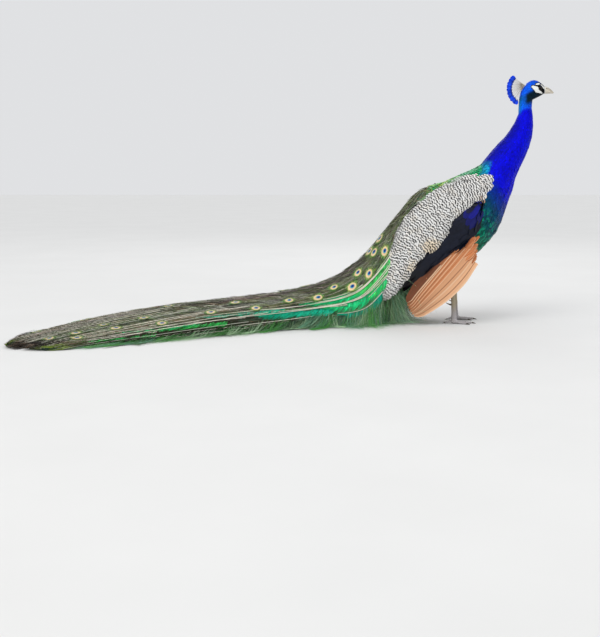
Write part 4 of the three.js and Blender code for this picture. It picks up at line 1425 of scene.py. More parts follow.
def root_coverts():
    """Overlapping scales over the train's root: gold-green by the back, long and bronze lower down."""
    rng = np.random.default_rng(35)
    shares, angles = [], []
    for row, share in enumerate(np.linspace(0, 1, 20)):
        count = 13 + int(7 * share)
        shares.append(np.full(count, share))
        angles.append(np.radians(118) * (2 * (np.arange(count) + 0.5 * (row % 2)) / (count - 0.5) - 1))
    share, a = np.concatenate(shares), np.concatenate(angles)
    count = len(share)
    share = np.clip(share + rng.normal(0, 0.025, count), 0, 1)
    a = a + rng.normal(0, 0.06, count)
    t = 0.004 + 0.215 * share
    points, out, along, _, _ = train_frame(t, a, 1.0)
    lies = along_surface(along + rng.normal(0, 0.10, along.shape), out)
    size = near_one(rng, 0.10, count, 0.75, 1.3)
    lengths = (0.026 + 0.040 * share) * size
    grid, u, v = feather_grid(
        points, out, lies, lengths, (0.018 + 0.010 * share) * size, ROUND_TIP, columns=5,
        tilt=0.07 + rng.normal(0, 0.02, count), cup=0.2, bend=1.5,
    )
    colours = mix(EMERALD, GOLD_GREEN, rng.random(count) * 0.7)
    colours = mix(colours, pick([OLIVE, BRONZE, DEEP_GREEN], rng, count), smooth(0.10, 0.45, share))
    colours = mix(colours, pick([BRONZE, UMBER, OLIVE], rng, count), smooth(0.55, 0.95, share))
    feather_piece(
        "root_coverts", grid, u, v, colours, train_unwrap(t, a), mantle, lengths, "train_green_plumage",
    )


root_coverts()


def make_plumes(seed, count):
    """The long bronze plumes that cover the train from side to side."""
    rng = np.random.default_rng(seed)
    angles = np.radians(rng.uniform(-98, 98, count))
    ends = np.clip(0.36 + 0.58 * rng.random(count) ** 0.8, 0, 0.905)
    starts = np.clip(ends - 0.55, 0.06, 0.35) * rng.uniform(0.8, 1.0, count)
    radii = 0.985 - 0.06 * ends + rng.normal(0, 0.014, count)
    shafts = Shafts(starts, ends, angles * 0.85, angles, radii, 0.06, rng)
    side_share = smooth(np.radians(55), np.radians(90), np.abs(angles))
    colours = pick([BRONZE, UMBER, MAUVE, UMBER, SILVER, UMBER, OLIVE], rng, count, 0.25)
    colours = mix(colours, DEEP_GREEN, 0.75 * side_share)
    colours = mix(colours, pick([OLIVE, LEAF], rng, count), 0.25 * smooth(0.75, 0.95, ends))
    return shafts, colours, rng


def train_strand_pieces(
    stem, shafts, colours, rng, slot, material=strand, tip=OLIVE, tip_share=0.3, parts=1, **settings,
):
    """All the barbs of some shafts, in so many pieces. Their tips turn by tip_share to the colour tip."""
    corners, paints, roots = plume_strands(shafts, colours=colours, rng=rng, **settings)
    for number, chosen in enumerate(np.array_split(np.arange(len(corners)), parts), 1):
        strand_piece(
            f"{stem}_{number}" if parts > 1 else stem, corners[chosen], paints[chosen],
            mix(paints[chosen], tip, tip_share), roots[chosen], material,
        )


plumes, plume_colours, rng = make_plumes(31, 132)
train_strand_pieces(
    "plumes", plumes, plume_colours, rng, "train_bronze_plumage", tip=SILVER, tip_share=0.22, parts=2,
    gap=0.0029, length=0.050, slant=0.42, width=0.0012, rise=0.0030, first=0.55, fringe=0.7, jitter=0.13,
    twist=0.7, clumps=0.65,
)
pale_share = rng.random(plumes.count) < 0.22
shaft_colours = np.where(pale_share[:, None], IVORY * 0.85, HORN * 0.6)
shaft_piece("plume_shafts", plumes, 0.0009, 0.0004, 0.55, shaft_colours)


def ocellus_finish():
    """An eye spot: a dark blue heart in turquoise, in a broad tan ring with thin rims of gold and green."""
    finish = Finish("eye_spots", 0.36, 0.25, Specular_IOR_Level=0.3)
    x, y = finish.map("disc")
    reach = lambda px, py: (px * px + py * py) ** 0.5
    heart = reach(x * 3.9, (y + 0.10) * 3.5)
    blue = reach(x * 2.6, (y + 0.05) * 2.45)
    spot = reach(x * 1.08, y * 1.0)
    wire = finish.noise(finish.vector(x * 9.0, y * 9.0), 1.0, 2.0) * 0.08
    colour = srgb(70, 104, 52)
    for size, low, high, inside in (
        (spot, 0.88, 0.98, (112, 140, 66)), (spot, 0.82, 0.90, (168, 176, 96)),
        (spot, 0.72, 0.82, (222, 196, 154)), (blue, 1.02, 1.30, (200, 152, 104)),
        (blue, 0.90, 1.0, (8, 160, 176)), (heart, 0.90, 1.05, (10, 14, 122)),
    ):
        colour = finish.tint(colour, srgb(*inside), 1 - (size + wire).step(low, high))
    angle = y.turn_from(x)
    barbs = (angle * 90.0).wave()
    finish.feed(Base_Color=finish.shaded(colour, 0.88 + barbs * 0.22))
    finish.bump(barbs, 0.0003, 0.4)
    return finish.material


def eye_spots(t, a, r, widths, rng):
    """Oval discs that lie on the train, each with a map across it and a patch of its own in the baked map."""
    rings, around = 8, 30
    radius = np.concatenate([[0.0], np.linspace(0.15, 1.0, rings - 1)])
    turn = np.linspace(0, 2 * np.pi, around, endpoint=False)
    _, out, _, speed_t, speed_a = train_frame(t, a, r)
    ragged = 1 + 0.05 * rng.normal(0, 1, (len(t), 1, around)) * (radius[None, :, None] > 0.9)
    x = radius[None, :, None] * np.cos(turn) * ragged
    y = radius[None, :, None] * np.sin(turn) * ragged
    half = widths[:, None, None] / 2
    spot_t = t[:, None, None] + y * half * EYE_STRETCH / speed_t[:, None, None]
    spot_a = a[:, None, None] + x * half / speed_a[:, None, None]
    points = train_point(np.minimum(spot_t, LAST_T), spot_a, r[:, None, None])
    dish = 0.0050 + 0.0020 * (1 - radius[None, :, None] ** 2)
    points = points + out[:, None, None] * dish[..., None]
    points[..., 2] = np.maximum(points[..., 2], FLOOR_CLEARANCE + 0.002)
    faces = repeated(ring_faces(rings, around)[:, [0, 3, 2, 1]], rings * around, len(t))
    cells = int(math.ceil(math.sqrt(len(t))))
    order = np.lexsort((a, t))
    cell = np.empty(len(t), int)
    cell[order] = np.arange(len(t))
    middle = np.stack([(cell % cells + 0.5) / cells, (cell // cells + 0.5) / cells], -1)
    patch = middle[:, None, None] + 0.42 / cells * np.stack([x, y], -1) / 1.2
    piece(
        "eye_spots", points, faces, ocellus_finish(), {"disc": np.stack([x, y], -1), "OFBake": patch}, None,
    )


# Where the eye spots down each side lie: the share of the train's length, and degrees round from its top.
SIDE_EYES = (
    (0.272, 56), (0.300, 32), (0.345, 58), (0.372, 38), (0.405, 52), (0.452, 38), (0.500, 52), (0.550, 40),
    (0.600, 50), (0.655, 42), (0.720, 50), (0.785, 36), (0.860, 44),
)


def make_eyed(seed):
    """Plumes that end in an eye spot: those down each side of the train and a few along its top."""
    rng = np.random.default_rng(seed)
    ends, angles = [], []
    for side in (-1, 1):
        place, degrees = np.array(SIDE_EYES).T
        ends.append(place + (side > 0) * rng.normal(0, 0.010, len(place)))
        angles.append(side * np.radians(degrees + (side > 0) * rng.normal(0, 5, len(place))))
    row = 12
    ends.append(np.linspace(0.27, 0.90, row) + rng.normal(0, 0.012, row))
    angles.append(np.radians(rng.uniform(-22, 22, row)))
    ends, angles = np.concatenate(ends), np.concatenate(angles)
    starts = np.clip(ends - 0.4, 0.06, 0.5)
    shafts = Shafts(starts, ends, angles * 0.9, angles, 1.0 + rng.normal(0, 0.004, len(ends)), 0.02, rng)
    return shafts, rng


eyed, rng = make_eyed(32)
eyed_colours = mix(pick([BRONZE, MAUVE, OLIVE], rng, eyed.count), LEAF, 0.15)
train_strand_pieces(
    "eyed_plumes", eyed, eyed_colours, rng, "train_bronze_plumage", tip=LEAF, tip_share=0.35, gap=0.0028,
    length=0.032, slant=0.45, width=0.0011, rise=0.0030, first=0.26, last=0.012, fringe=0.8, jitter=0.12,
    clumps=0.4,
)
rim_colours = pick([GOLD_GREEN, LEAF, GREY_GREEN], rng, eyed.count)
train_strand_pieces(
    "eye_fringes", eyed, rim_colours, rng, "train_green_plumage", tip=LEAF, tip_share=0.4, gap=0.0012,
    length=0.025, slant=0.66, width=0.0009, rise=0.0030, first=0.040, curl=0.3, jitter=0.14,
)
shaft_colours = pick([IVORY, HORN, HORN], rng, eyed.count)
shaft_piece("eyed_shafts", eyed, 0.0012, 0.0005, 0.30, shaft_colours)
eye_t, eye_a, eye_r = eyed.at(np.arange(eyed.count), np.full(eyed.count, 0.985))
eye_widths = EYE_WIDTH * near_one(rng, 0.07, eyed.count, 0.82, 1.14)
eye_spots(eye_t, eye_a, eye_r, eye_widths, rng)


def eye_barbs(t, a, r, widths, rng):
    """Short barbs that stand out all round each eye spot, over its rim."""
    around = 64
    spot = np.repeat(np.arange(len(t)), around)
    count = len(spot)
    turn = rng.uniform(0, 2 * np.pi, count)
    _, out, _, speed_t, speed_a = train_frame(t[spot], a[spot], r[spot])
    rows = []
    for share, lift in ((0.70, 0.0062), (0.98, 0.0072), (1.30, 0.0058)):
        reach = share * widths[spot] / 2 * (1 + (share > 0.8) * rng.normal(0, 0.12, count))
        bent = turn - 0.30 * (share - 0.7) * np.cos(turn)
        spot_t = t[spot] + np.sin(bent) * reach * EYE_STRETCH / speed_t
        spot_a = a[spot] + np.cos(bent) * reach / speed_a
        rows.append(train_point(np.minimum(spot_t, LAST_T), spot_a, r[spot]) + out * lift)
    run = unit(rows[2] - rows[0])
    edge = unit(np.cross(out, run)) * 0.0006
    narrow = edge * 0.8
    corners = np.stack([rows[0] - edge, rows[0] + edge, rows[1] - narrow, rows[1] + narrow, rows[2]], 1)
    colours = pick([srgb(176, 178, 104), srgb(150, 160, 80), LEAF], rng, count, 0.15)
    tips = pick([LEAF, OLIVE, MOSS], rng, count, 0.2)
    strand_piece(
        "eye_barbs", corners, colours, tips, train_unwrap(t[spot], a[spot]), strand,
    )


eye_barbs(eye_t, eye_a, eye_r, eye_widths, rng)

# The sword feathers of one side: the share of the train where each starts and ends, and its angle at both.
SWORDS = (
    (0.18, 0.320, 68, 66), (0.26, 0.420, 72, 62), (0.20, 0.37, 90, 84), (0.29, 0.50, 86, 68),
    (0.37, 0.53, 62, 54), (0.33, 0.46, 100, 88), (0.43, 0.61, 78, 62), (0.52, 0.67, 62, 48),
    (0.56, 0.76, 76, 56), (0.67, 0.79, 62, 50), (0.73, 0.88, 74, 56),
)


def make_swords(side, seed):
    """The stiff green feathers down one side, whose dense outer vane curves over like a sword."""
    rng = np.random.default_rng(seed)
    starts, ends, leave, arrive = np.array(SWORDS).T
    if side > 0:
        ends = ends + rng.normal(0, 0.010, len(ends))
    radii = 1.004 + rng.normal(0, 0.003, len(ends))
    shafts = Shafts(starts, ends, side * np.radians(leave), side * np.radians(arrive), radii, 0.0, rng)
    return shafts, rng


def make_bare_shafts(side, seed):
    """The long white shafts that show between a side's two rows of swords."""
    rng = np.random.default_rng(seed)
    count = 7
    degrees = np.linspace(72, 86, count) + rng.normal(0, 1.5, count)
    starts = 0.18 + 0.12 * rng.random(count)
    ends = starts + 0.26 + 0.18 * rng.random(count)
    leave, arrive = side * np.radians(degrees), side * np.radians(degrees - 13)
    return Shafts(starts, ends, leave, arrive, np.full(count, 1.006), 0.015, rng)


for side_name, side in SIDES:
    swords, rng = make_swords(side, 33)
    sword_colours = pick([VIVID, VIVID_LEAF, VIVID, VIVID_BLUE, VIVID], rng, swords.count, 0.08)
    train_strand_pieces(
        "sword_vanes_" + side_name, swords, sword_colours, rng, "train_green_plumage", vivid, tip=VIVID_LEAF,
        tip_share=0.25, gap=0.0011, length=0.036, slant=1.12, width=0.0024, rise=0.0040, first=0.30,
        sides=(side,), curl=0.45, jitter=0.06, twist=0.3, fringe=0.30, clumps=0.12,
    )
    train_strand_pieces(
        "sword_backs_" + side_name, swords, sword_colours * 0.6, rng, "train_green_plumage", vivid,
        tip=srgb(168, 196, 60), tip_share=0.6, gap=0.0018, length=0.014, slant=0.6, width=0.0014, first=0.28,
        sides=(-side,), twist=0.3, fringe=0.4,
    )
    bare = make_bare_shafts(side, 37)
    for stem, shafts, thick, first, lift in (
        ("sword_shafts_", swords, 0.0016, 0.36, 0.0030), ("bare_shafts_", bare, 0.0015, 0.50, 0.0050),
    ):
        white = np.tile(IVORY, (shafts.count, 1))
        shaft_piece(stem + side_name, shafts, thick, 0.0006, first, white, lift)


WISP_STATIONS = 7
WISPS_IN_LOCK = 62


def wisps(side_name, side, seed):
    """Long soft barbs low on one side, in locks that hang from the falling train or splay on the floor."""
    rng = np.random.default_rng(seed)
    hanging, laid = 60, 92
    locks = hanging + laid
    lock_t = np.concatenate([rng.uniform(0.17, 0.40, hanging), np.linspace(0.36, 0.915, laid)])
    lock_t = lock_t + rng.normal(0, 0.004, locks)
    lock_a = np.concatenate([rng.uniform(92, 140, hanging), rng.uniform(82, 100, laid)])
    on_floor = smooth(0.34, 0.44, lock_t)
    near_end = smooth(0.76, 0.91, lock_t)
    splay = np.where(np.arange(locks) < hanging, rng.uniform(0.15, 1.45, locks), 0.0)
    splay = np.where(splay == 0, rng.uniform(0.55, 0.95, locks) * (1 - 0.7 * near_end), splay)
    length = 0.150 - 0.030 * on_floor - 0.045 * near_end
    length = length * near_one(rng, 0.18, locks, 0.6, 1.4)
    curl = rng.normal(0.05, 0.20, locks) + 0.22 * on_floor
    lock_paint = pick([GREY_GREEN, PALE_GREEN, MOSS, GREY_GREEN, PALE_GREEN, LEAF], rng, locks, 0.2)
    lock_paint = mix(lock_paint, pick([GOLD_GREEN, OLIVE, UMBER], rng, locks), 0.5 * near_end)

    lock = np.repeat(np.arange(locks), WISPS_IN_LOCK)
    count = len(lock)
    t = lock_t[lock] + rng.normal(0, 0.010, count)
    a = side * np.radians(lock_a[lock] + rng.normal(0, 5.0, count))
    r = 0.90 + rng.normal(0, 0.035, count)
    point, out, along, _, _ = train_frame(t, a, r)
    away = side * unit(np.cross(along, out))
    away[:, 2] *= 1 - 0.75 * on_floor[lock]
    turn = (splay[lock] + rng.normal(0, 0.10, count))[:, None]
    stray = rng.normal(0, 0.05, out.shape)
    heading = unit(along * np.cos(turn) + unit(away) * np.sin(turn) + out * 0.08 + stray)
    stretch = near_one(rng, 0.18, count, 0.5, 1.5) * np.where(rng.random(count) < 0.06, 1.35, 1.0)
    step = (length[lock] * stretch / (WISP_STATIONS - 1))[:, None]
    sag = (0.03 + 0.17 * rng.random(count))[:, None] * np.array([0.0, 0.0, -1.0])
    bow = rng.normal(0, 0.08, (count, 3)) + rng.normal(0, 0.07, (locks, 3))[lock]
    bow[:, 1] *= 0.5
    lowest = FLOOR_CLEARANCE + 0.006 * rng.random(count)
    path = [point]
    for _ in range(WISP_STATIONS - 1):
        point = point + heading * step
        resting = point[:, 2] < lowest
        point[:, 2] = np.maximum(point[:, 2], lowest)
        bent = heading + sag + bow + along * (0.55 * curl[lock])[:, None]
        bent[:, 2] = np.where(resting, np.maximum(bent[:, 2], 0.0), bent[:, 2])
        heading = unit(bent)
        path.append(point)
    path = np.stack(path, 1)

    axis = np.zeros((locks, WISP_STATIONS, 3))
    np.add.at(axis, lock, path)
    axis /= WISPS_IN_LOCK
    gather = (np.where(rng.random(locks) < 0.8, 0.88, 0.3) * (0.25 + 0.75 * on_floor))[lock]
    share = np.linspace(0, 1, WISP_STATIONS)
    path = path + (axis[lock] - path) * (gather[:, None] * smooth(0.0, 1.0, share)[None])[..., None]
    path[..., 2] = np.maximum(path[..., 2], lowest[:, None])
    path = kept_in(path)

    run = unit(np.gradient(path, axis=1))
    flat = unit(np.cross(out[:, None], run))
    tilt = rng.normal(0, 0.7, count)[:, None, None]
    edge = (flat * np.cos(tilt) + out[:, None] * np.sin(tilt)) * (0.00058 * (1 - 0.75 * share))[:, None]
    grid = np.stack([path - edge, path + edge], 2)
    light = near_one(rng, 0.18, count, 0.5, 1.6)[:, None, None]
    paint = lock_paint[lock][:, None]
    # Each wisp is painted darker at its root, as painted shade where it leaves the train, and lighter towards
    # its tip, as painted light.
    paint = mix(paint * 0.55, paint * 1.2, share[None] * np.ones((count, 1)))
    paint = np.broadcast_to((paint * light)[:, :, None], grid.shape)
    feather_piece(
        "wisps_" + side_name, grid, *over_vanes(np.array([0.0, 1.0]), share, count), paint,
        train_unwrap(t, a), strand, 0.10, "train_green_plumage",
    )


for side_name, side in SIDES:
    wisps(side_name, side, 34)


def make_fishtails(seed, count):
    """The longest feathers of all, which end in a loose fork and have no eye spot, each at its own length."""
    rng = np.random.default_rng(seed)
    angles = np.radians(np.linspace(-100, 100, count)) + rng.normal(0, 0.05, count)
    middle = 1 - (np.abs(angles) / np.radians(100)) ** 2
    ends = np.clip(0.845 + 0.125 * middle + 0.045 * rng.normal(0, 1, count), 0.76, 0.990)
    starts, radii = np.full(count, 0.45), 0.99 + rng.normal(0, 0.015, count)
    return Shafts(starts, ends, angles * 0.95, angles, radii, 0.07, rng, spread=0.30), rng


fishtails, rng = make_fishtails(36, 40)
fish_colours = pick([UMBER, OLIVE, DARK_GREEN, UMBER, BRONZE, UMBER], rng, fishtails.count, 0.25)
train_strand_pieces(
    "fishtail_barbs", fishtails, fish_colours, rng, "train_bronze_plumage", tip_share=0.2, gap=0.0026,
    length=0.042, slant=0.22, width=0.0012, first=0.60, jitter=0.10, clumps=0.6, fringe=0.5,
)
fork_colours = pick([GOLD_GREEN, UMBER, OLIVE, DARK_GREEN, BRONZE, UMBER], rng, fishtails.count)
train_strand_pieces(
    "fishtail_ends", fishtails, fork_colours, rng, "train_green_plumage", tip=UMBER, tip_share=0.35,
    gap=0.0010, length=0.052, slant=0.22, width=0.0010, rise=0.0045, first=0.055, curl=-0.4, jitter=0.13,
    clumps=0.4,
)
shaft_colours = pick([IVORY, IVORY, SILVER], rng, fishtails.count)
shaft_piece(
    "fishtail_shafts", fishtails, 0.0012, 0.0004, 0.60, shaft_colours, lift=0.0044,
)


def train_bed():
    """A mass under the train's visible feathers, standing for down and hidden barbs, painted dark as the
    shade between those feathers.
    """
    shares, turns = np.meshgrid(np.linspace(0, 1, 180), np.linspace(-np.pi, np.pi, 73)[:-1], indexing="ij")
    grid = train_point(shares, turns, 1.0).reshape(-1, 3)
    tree = near_tree(grid)
    nearest = np.array([tree.find(p)[1] for p in train_surface.points])
    t, a = shares.ravel()[nearest], turns.ravel()[nearest]
    low = smooth(np.radians(80), np.radians(120), np.abs(a))
    depth = 0.008 + 0.009 * low * smooth(0.08, 0.2, t)
    depth = np.minimum(depth, 0.35 * np.maximum(train_surface.points[:, 2], 0.004) + 0.001)
    points = train_surface.points - train_surface.normals * depth[:, None]
    points[:, :2] -= train_surface.normals[:, :2] * (0.022 * smooth(0.30, 0.42, t))[:, None]
    points[:, 2] = np.maximum(points[:, 2] * (1 - 0.92 * smooth(0.80, 0.93, t)), 0.0)
    forward = -train_frame(t, a * 0.0, 1.0)[2][:, :2]
    points[:, :2] += forward * (0.085 * smooth(0.80, 1.0, t))[:, None]
    # Painted shade: the bed takes darkened copies of umber and dark green, for the shade deep in the train.
    colour = mix(UMBER * 0.5, DARK_GREEN * 0.6, smooth(np.radians(50), np.radians(80), np.abs(a)))
    finish = Finish("train_bed", 0.75, Specular_IOR_Level=0.2)
    u, v = finish.map("vane")
    streaks = finish.noise(finish.vector(u * 60.0, v * 5.0), 1.0, 4.0)
    finish.feed(Base_Color=finish.shaded(finish.plume(), 0.5 + streaks))
    finish.bump(streaks, 0.003, 0.8)
    around = (a + np.pi) / (2 * np.pi)
    piece(
        "train_bed", points, train_surface.tris, finish.material,
        {"vane": np.stack([around, t * 1.5], -1), "OFBake": train_unwrap(t, a)}, colour,
        TRAIN_NODES,
    )


train_bed()


# -------------------- tail under the train
# The stiff tail's middle line as x and z, with half its width.
TAIL_LINE = np.array([
    (-0.215, 0.176, 0.034), (-0.262, 0.136, 0.044), (-0.318, 0.086, 0.052), (-0.375, 0.050, 0.060),
    (-0.440, 0.025, 0.068), (-0.510, 0.013, 0.076), (-0.580, 0.008, 0.080), (-0.636, 0.006, 0.066),
])
TAIL_FEATHERS = 12


def tail_feathers():
    """Twelve brown mottled quills laid side by side in a flat fan, the middle ones on top."""
    rng = np.random.default_rng(41)
    rows, columns = 22, 5
    v, u = np.linspace(0, 1, rows), np.linspace(-1, 1, columns)
    grids, colours, roots = [], [], []
    for index in range(TAIL_FEATHERS):
        offset = 2 * index / (TAIL_FEATHERS - 1) - 1
        fine = spline(TAIL_LINE, (1.0 - 0.06 * offset**2) * v)
        tip = np.clip((1 - v) / 0.06, 0, 1) ** 0.5
        half = np.maximum(fine[:, 2] * 0.20, 0.008) * tip + 0.001
        y = offset * (fine[:, 2] - 0.010)[:, None] + half[:, None] * u
        z = fine[:, 1][:, None] + 0.0045 * (1 - abs(offset)) - 0.0020 * u**2 + 0 * y
        grids.append(swept(fine[:, 0][:, None] + 0 * y, y, z))
        mottled = srgb(104, 86, 66) * rng.normal(1, 0.06)
        colours.append(np.broadcast_to(mottled, y.shape + (3,)))
        roots.append((0.1 + 0.8 * index / TAIL_FEATHERS, 0.5))
    tail_quills = plume_finish("tail_quills", 0.7, 0.0, 0.0016, 0.006, edge=0.2, shaft=HORN)
    feather_piece(
        "tail_feathers", np.array(grids), *over_vanes((u + 1) / 2, v, TAIL_FEATHERS), np.array(colours),
        np.array(roots), tail_quills, 0.45, "tail_plumage", ["tail"],
    )


tail_feathers()

# -------------------- crest
CREST_FIRST, CREST_LAST = math.radians(146), math.radians(244)
CREST_FEATHERS = 24
CREST_SHORT, CREST_LONG = 0.047, 0.061
CREST_BLUE = srgb(14, 70, 232)
CREST_TEAL = srgb(8, 40, 150)
PADDLE_LENGTH, PADDLE_WIDTH = 0.0175, 0.0108
# The paddle's half widths from its root to its tip, as shares of its width.
PADDLE = (0.10, 0.36, 0.64, 0.86, 0.97, 1.0, 0.90, 0.62)


def crest():
    """A fan of bare pale shafts, each with a few thin barbs and a blue paddle at its end."""
    rng = np.random.default_rng(51)
    points, faces, plume, spots = [], [], [], []
    start = 0

    def sheet(grid, colours, root):
        nonlocal start
        rows, columns = grid.shape[:2]
        points.append(grid.reshape(-1, 3))
        faces.append(grid_faces(rows, columns) + start)
        plume.append(np.broadcast_to(colours, grid.shape).reshape(-1, 3))
        u, v = np.meshgrid(np.linspace(0, 1, columns), np.linspace(0, 1, rows))
        spots.append((root + PATCH * (np.stack([u, v], -1) - 0.5)).reshape(-1, 2))
        start += rows * columns

    sideways = np.array([0.0, 1.0, 0.0])
    for index in range(CREST_FEATHERS):
        share = index / (CREST_FEATHERS - 1)
        angle = CREST_FIRST + (CREST_LAST - CREST_FIRST) * share
        reach = (CREST_SHORT + (CREST_LONG - CREST_SHORT) * share) * rng.normal(1, 0.006)
        swing = 0.0062 * math.sin(index * 2.4)
        leave = angle - math.radians(12) * share
        s = np.linspace(0, 1, 14)
        turn = leave + (angle - leave) * s
        middle = np.stack([reach * s * np.cos(turn), swing * s**1.5, reach * s * np.sin(turn)], 1)
        middle += CREST_ROOT
        middle[:, 2] -= 0.0015 * math.sin(angle - 2.2) * s**2
        heading = unit(np.gradient(middle, axis=0))
        flat = unit(np.cross(heading, sideways))
        root = np.array([0.1 + 0.8 * share, 0.5])
        bare = s <= 0.86
        thick = (0.00050 - 0.00030 * s)[bare, None]
        ring = [
            middle[bare] + flat[bare] * (thick * math.cos(k)) + sideways * (thick * math.sin(k))
            for k in np.linspace(0, 2 * np.pi, 5)
        ]
        shaft_colour = mix(IVORY, HORN, 0.40 + rng.random() * 0.6)
        sheet(np.stack(ring, 1), shaft_colour, root)
        for barb in range(10):
            at = 3 + 0.7 * barb
            near = int(at)
            way = -1 if barb % 2 else 1
            base = middle[near] + (middle[near + 1] - middle[near]) * (at - near)
            run = unit(heading[near] + 0.40 * way * flat[near] + rng.normal(0, 0.1) * sideways)
            tip = base + run * 0.0050
            wide = sideways * 0.00022
            thin = wide * 0.3
            sheet(np.array([[base - wide, base + wide], [tip - thin, tip + thin]]), shaft_colour * 0.7, root)
        v = np.linspace(0, 1, len(PADDLE))[:, None]
        u = np.linspace(-1, 1, 7)[None]
        along = PADDLE_LENGTH * (v * (1 - 0.05 * u**2 * v) - 0.68)
        across = PADDLE_WIDTH / 2 * np.array(PADDLE)[:, None] * u
        out = 0.0009 * (1 - u**2) * v - 0.0004
        grid = middle[-1] + heading[-1] * along[..., None] + flat[-1] * across[..., None]
        grid += sideways * out[..., None]
        paint = mix(CREST_TEAL, CREST_BLUE, smooth(0.0, 0.6, v + 0.25 * np.abs(u)))
        # Painted shade darkens each paddle towards its root; each paddle is also a little darker towards its
        # side edges.
        paint = paint * (1 - 0.30 * u**4)[..., None] * (0.5 + 0.5 * smooth(0.10, 0.55, v))[..., None]
        sheet(grid, paint * rng.normal(1, 0.10), root)
    finish = Finish("crest_plumes", 0.42, 0.20, Specular_IOR_Level=0.2)
    fleck = finish.noise(finish.place(), 900.0, 2.0)
    finish.feed(Base_Color=finish.shaded(finish.plume(), 0.70 + fleck * 0.6))
    piece(
        "crest", np.vstack(points), np.vstack(faces), finish.material, {"OFBake": np.vstack(spots)},
        np.vstack(plume), ["crest"],
    )


crest()

# -------------------- eyes, bill and claws
IRIS = srgb(44, 26, 14)


def eyeball(side_name, side):
    """A glossy ball with a dark pupil, a brown iris that is finely rayed, and a dark rim."""
    rows, around = 17, 32
    pole = np.linspace(0.0, np.pi, rows)[:, None]
    turn = np.linspace(0, 2 * np.pi, around + 1)[None]
    towards_pole = np.cos(pole) * side + 0 * turn
    local = np.stack([np.sin(pole) * np.cos(turn), towards_pole, np.sin(pole) * np.sin(turn) * side], -1)
    bulge = 1 + 0.05 * smooth(0.75, 1.0, np.cos(pole))
    points = EYE * (1, side, 1) + local * EYE_RADIUS * bulge[..., None]
    faces = grid_faces(rows, around + 1)[:, ::-1]
    finish = Finish("eye_" + side_name, 0.10, Specular_IOR_Level=0.08, Coat_Weight=0.10, Coat_Roughness=0.02)
    u, v = finish.map("iris")
    reach = (u * u + v * v) ** 0.5
    rays = finish.noise(finish.vector(v.turn_from(u) * 6.0, reach), 2.0, 3.0)
    colour = finish.tint(IRIS * 0.6, IRIS * 1.5, rays.step(0.35, 0.65))
    colour = finish.tint(colour, (0.0005, 0.0005, 0.0005), 1 - reach.step(0.52, 0.56))
    colour = finish.tint(colour, (0.006, 0.005, 0.005), reach.step(0.74, 0.84))
    finish.feed(Base_Color=colour)
    disc = local[..., [0, 2]]
    maps = {"iris": disc, "OFBake": (disc + 1) / 2}
    piece("eye_ball_" + side_name, points, faces, finish.material, maps, None, ["eye_" + side_name])


NOSTRIL = ((0.2850, 0.7622), (0.2915, 0.7604))
BILL_ROOT = 0.279
LOWER_LENGTH = 0.93  # the lower half's horn, as a share of its node's length
BILL_VOXEL, CLAW_VOXEL = 0.0006, 0.0005


def horn_finish(name, roughness):
    """Horn in the colours of its own attribute, with a fine grain."""
    finish = Finish(name, roughness, Specular_IOR_Level=0.25)
    grain = finish.noise(finish.place(), 240.0)
    finish.feed(Base_Color=finish.shaded(finish.plume(), 0.85 + grain * 0.3))
    finish.bump(grain, 0.0002, 0.4)
    return finish.material


def bill():
    """Both halves of the bill, with a slot of a nostril on each side."""
    for name in ("bill_upper", "bill_lower"):
        surface = remeshed([name], BILL_VOXEL, 5)
        x, y, z = surface.points.T
        slot = capsule(x, z, *NOSTRIL, 0.0010, 0.0007) * (np.abs(y) > 0.002)
        inside = smooth(-0.0004, 0.0006, slot) if name == "bill_upper" else np.zeros(len(x))
        points = surface.points - surface.normals * (0.0012 * inside)[:, None]
        if name == "bill_lower":
            points[:, 0] = BILL_ROOT + (x - BILL_ROOT) * LOWER_LENGTH
        gape = smooth(0.2805, 0.2775, x + 0.35 * np.abs(z - 0.7520)) * (z < 0.7575)
        ridge = smooth(0.0034, 0.0014, np.abs(y)) * smooth(0.753, 0.757, z)
        colour = layered(
            mix(WHITE_SKIN * 0.9, BILL_PALE, smooth(BILL_ROOT, 0.284, x)),
            (BLACK_PLUME, 0.85 * gape),
            (srgb(172, 164, 150), smooth(0.288, 0.296, x) * smooth(0.757, 0.762, z + 0.55 * (x - 0.288))),
            (srgb(196, 184, 160), smooth(0.300, 0.311, x)),
            (RIDGE_GREY, 0.85 * ridge),
            # Painted shade: the nostril slot is painted near black inside.
            (srgb(30, 26, 24), inside),
        )
        piece(
            name + "_horn", points, surface.tris, bill_horn,
            {"OFBake": np.stack([(x - 0.27) / 0.05, (z - 0.74) / 0.05 * 0.5 + (y > 0) * 0.5], -1)}, colour,
            [name],
        )


def horn_set(name, nodes):
    """Claws or a spur: dark horn, paler towards the root."""
    surface = remeshed(nodes, CLAW_VOXEL, 3)
    x, y, z = surface.points.T
    colour = mix(srgb(70, 60, 50), srgb(128, 114, 96), smooth(0.004, 0.012, z))
    points = surface.points.copy()
    points[z < 0.0004, 2] = 0.0
    piece(
        name, points, surface.tris, claw_horn, {"OFBake": np.stack([(x + 0.1) / 0.3, (y + 0.12) / 0.24], -1)},
        colour, nodes,
    )


bill_horn = horn_finish("bill_horn", 0.5)
claw_horn = horn_finish("claw_horn", 0.45)
bill()
TOE_NAMES = ("inner", "middle", "outer", "hind")
for side_name, side in SIDES:
    eyeball(side_name, side)
    horn_set("claws_" + side_name, [f"claw_{toe}_{side_name}" for toe in TOE_NAMES])
    horn_set("spur_horn_" + side_name, ["spur_" + side_name])

# -------------------- floor, light and camera
FLOOR_REACH = 14.0
AIR_COLOUR, AIR_STRENGTH = (0.97, 0.98, 1.0, 1), 0.77
SUN_STRENGTH, SUN_HEADING, SUN_SPREAD = 0.95, (0.35, 0.55, -1.0), math.radians(40)
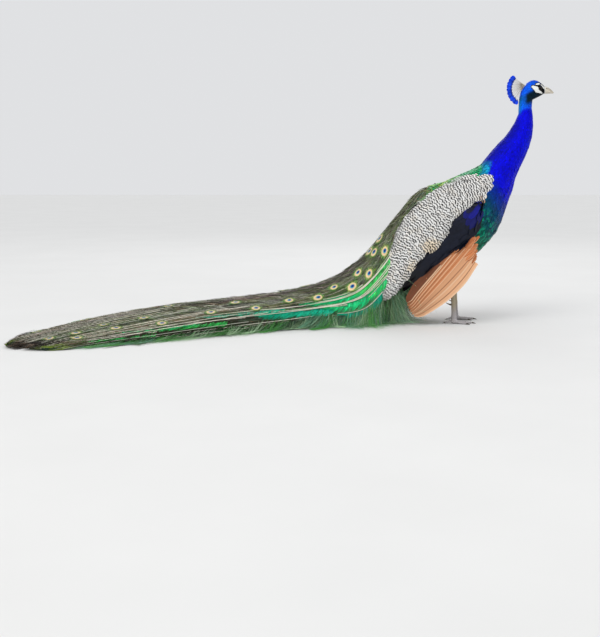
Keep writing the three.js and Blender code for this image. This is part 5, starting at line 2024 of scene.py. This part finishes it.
# Name, place, height aimed at over the middle, width, power and colour of each lamp.
LAMPS = (
    ("key", (-1.6, -2.6, 3.2), 0.35, 1.6, 25, (1.0, 0.98, 0.95)),
    ("fill", (2.6, -2.4, 1.6), 0.3, 2.2, 11, (1, 1, 1)),
    ("back", (0.5, 3.0, 2.6), 0.3, 2.0, 15, (1, 1, 1)),
)
CAMERA_AIM = Vector((0.008, 0.224, 0.010))
CAMERA_BACK, CAMERA_HEIGHT = 3.6, 0.53
LENS, SENSOR = 61.6, 36.0  # in millimetres


def studio():
    """A pale grey floor, and even light from all round."""
    floor_finish = Finish("studio_floor", 0.85)
    soft = floor_finish.noise(floor_finish.place(), 3.0)
    floor_finish.feed(Base_Color=floor_finish.tint((0.69, 0.69, 0.68), (0.74, 0.74, 0.73), soft))
    mesh = bpy.data.meshes.new("studio_floor")
    corners = [(FLOOR_REACH * x, FLOOR_REACH * y, 0) for x, y in ((-1, -1), (1, -1), (1, 1), (-1, 1))]
    mesh.from_pydata(corners, [], [(0, 1, 2, 3)])
    mesh.materials.append(floor_finish.material)
    floor = add_object("studio_floor", mesh)

    world = bpy.data.worlds.new("studio")
    world.use_nodes = True
    air = world.node_tree.nodes["Background"].inputs
    air["Color"].default_value = AIR_COLOUR
    air["Strength"].default_value = AIR_STRENGTH
    bpy.context.scene.world = world


def aimed(name, data, place, heading):
    """A light or a camera that looks along a heading."""
    made = add_object(name, data)
    made.location = place
    made.rotation_euler = Vector(heading).to_track_quat("-Z", "Y").to_euler()
    return made


def lights():
    """A broad soft sun, and three round lamps."""
    sun = bpy.data.lights.new("sky", "SUN")
    sun.energy, sun.angle = SUN_STRENGTH, SUN_SPREAD
    aimed("sky", sun, (0, 0, 0), SUN_HEADING)
    for name, place, height, size, power, colour in LAMPS:
        lamp = bpy.data.lights.new(name, "AREA")
        lamp.shape, lamp.size, lamp.energy, lamp.color = "DISK", size, power, colour
        aimed(name, lamp, place, Vector((0, 0, height)) - Vector(place))


def camera():
    """The camera, to the bird's right and a little above its middle, looking slightly down."""
    data = bpy.data.cameras.new("camera")
    data.lens, data.sensor_width = LENS, SENSOR
    place = Vector((CAMERA_AIM.x, CAMERA_AIM.y - CAMERA_BACK, CAMERA_HEIGHT))
    bpy.context.scene.camera = aimed("camera", data, place, CAMERA_AIM - place)


studio()
lights()
camera()
bpy.context.scene.view_settings.view_transform = "Standard"
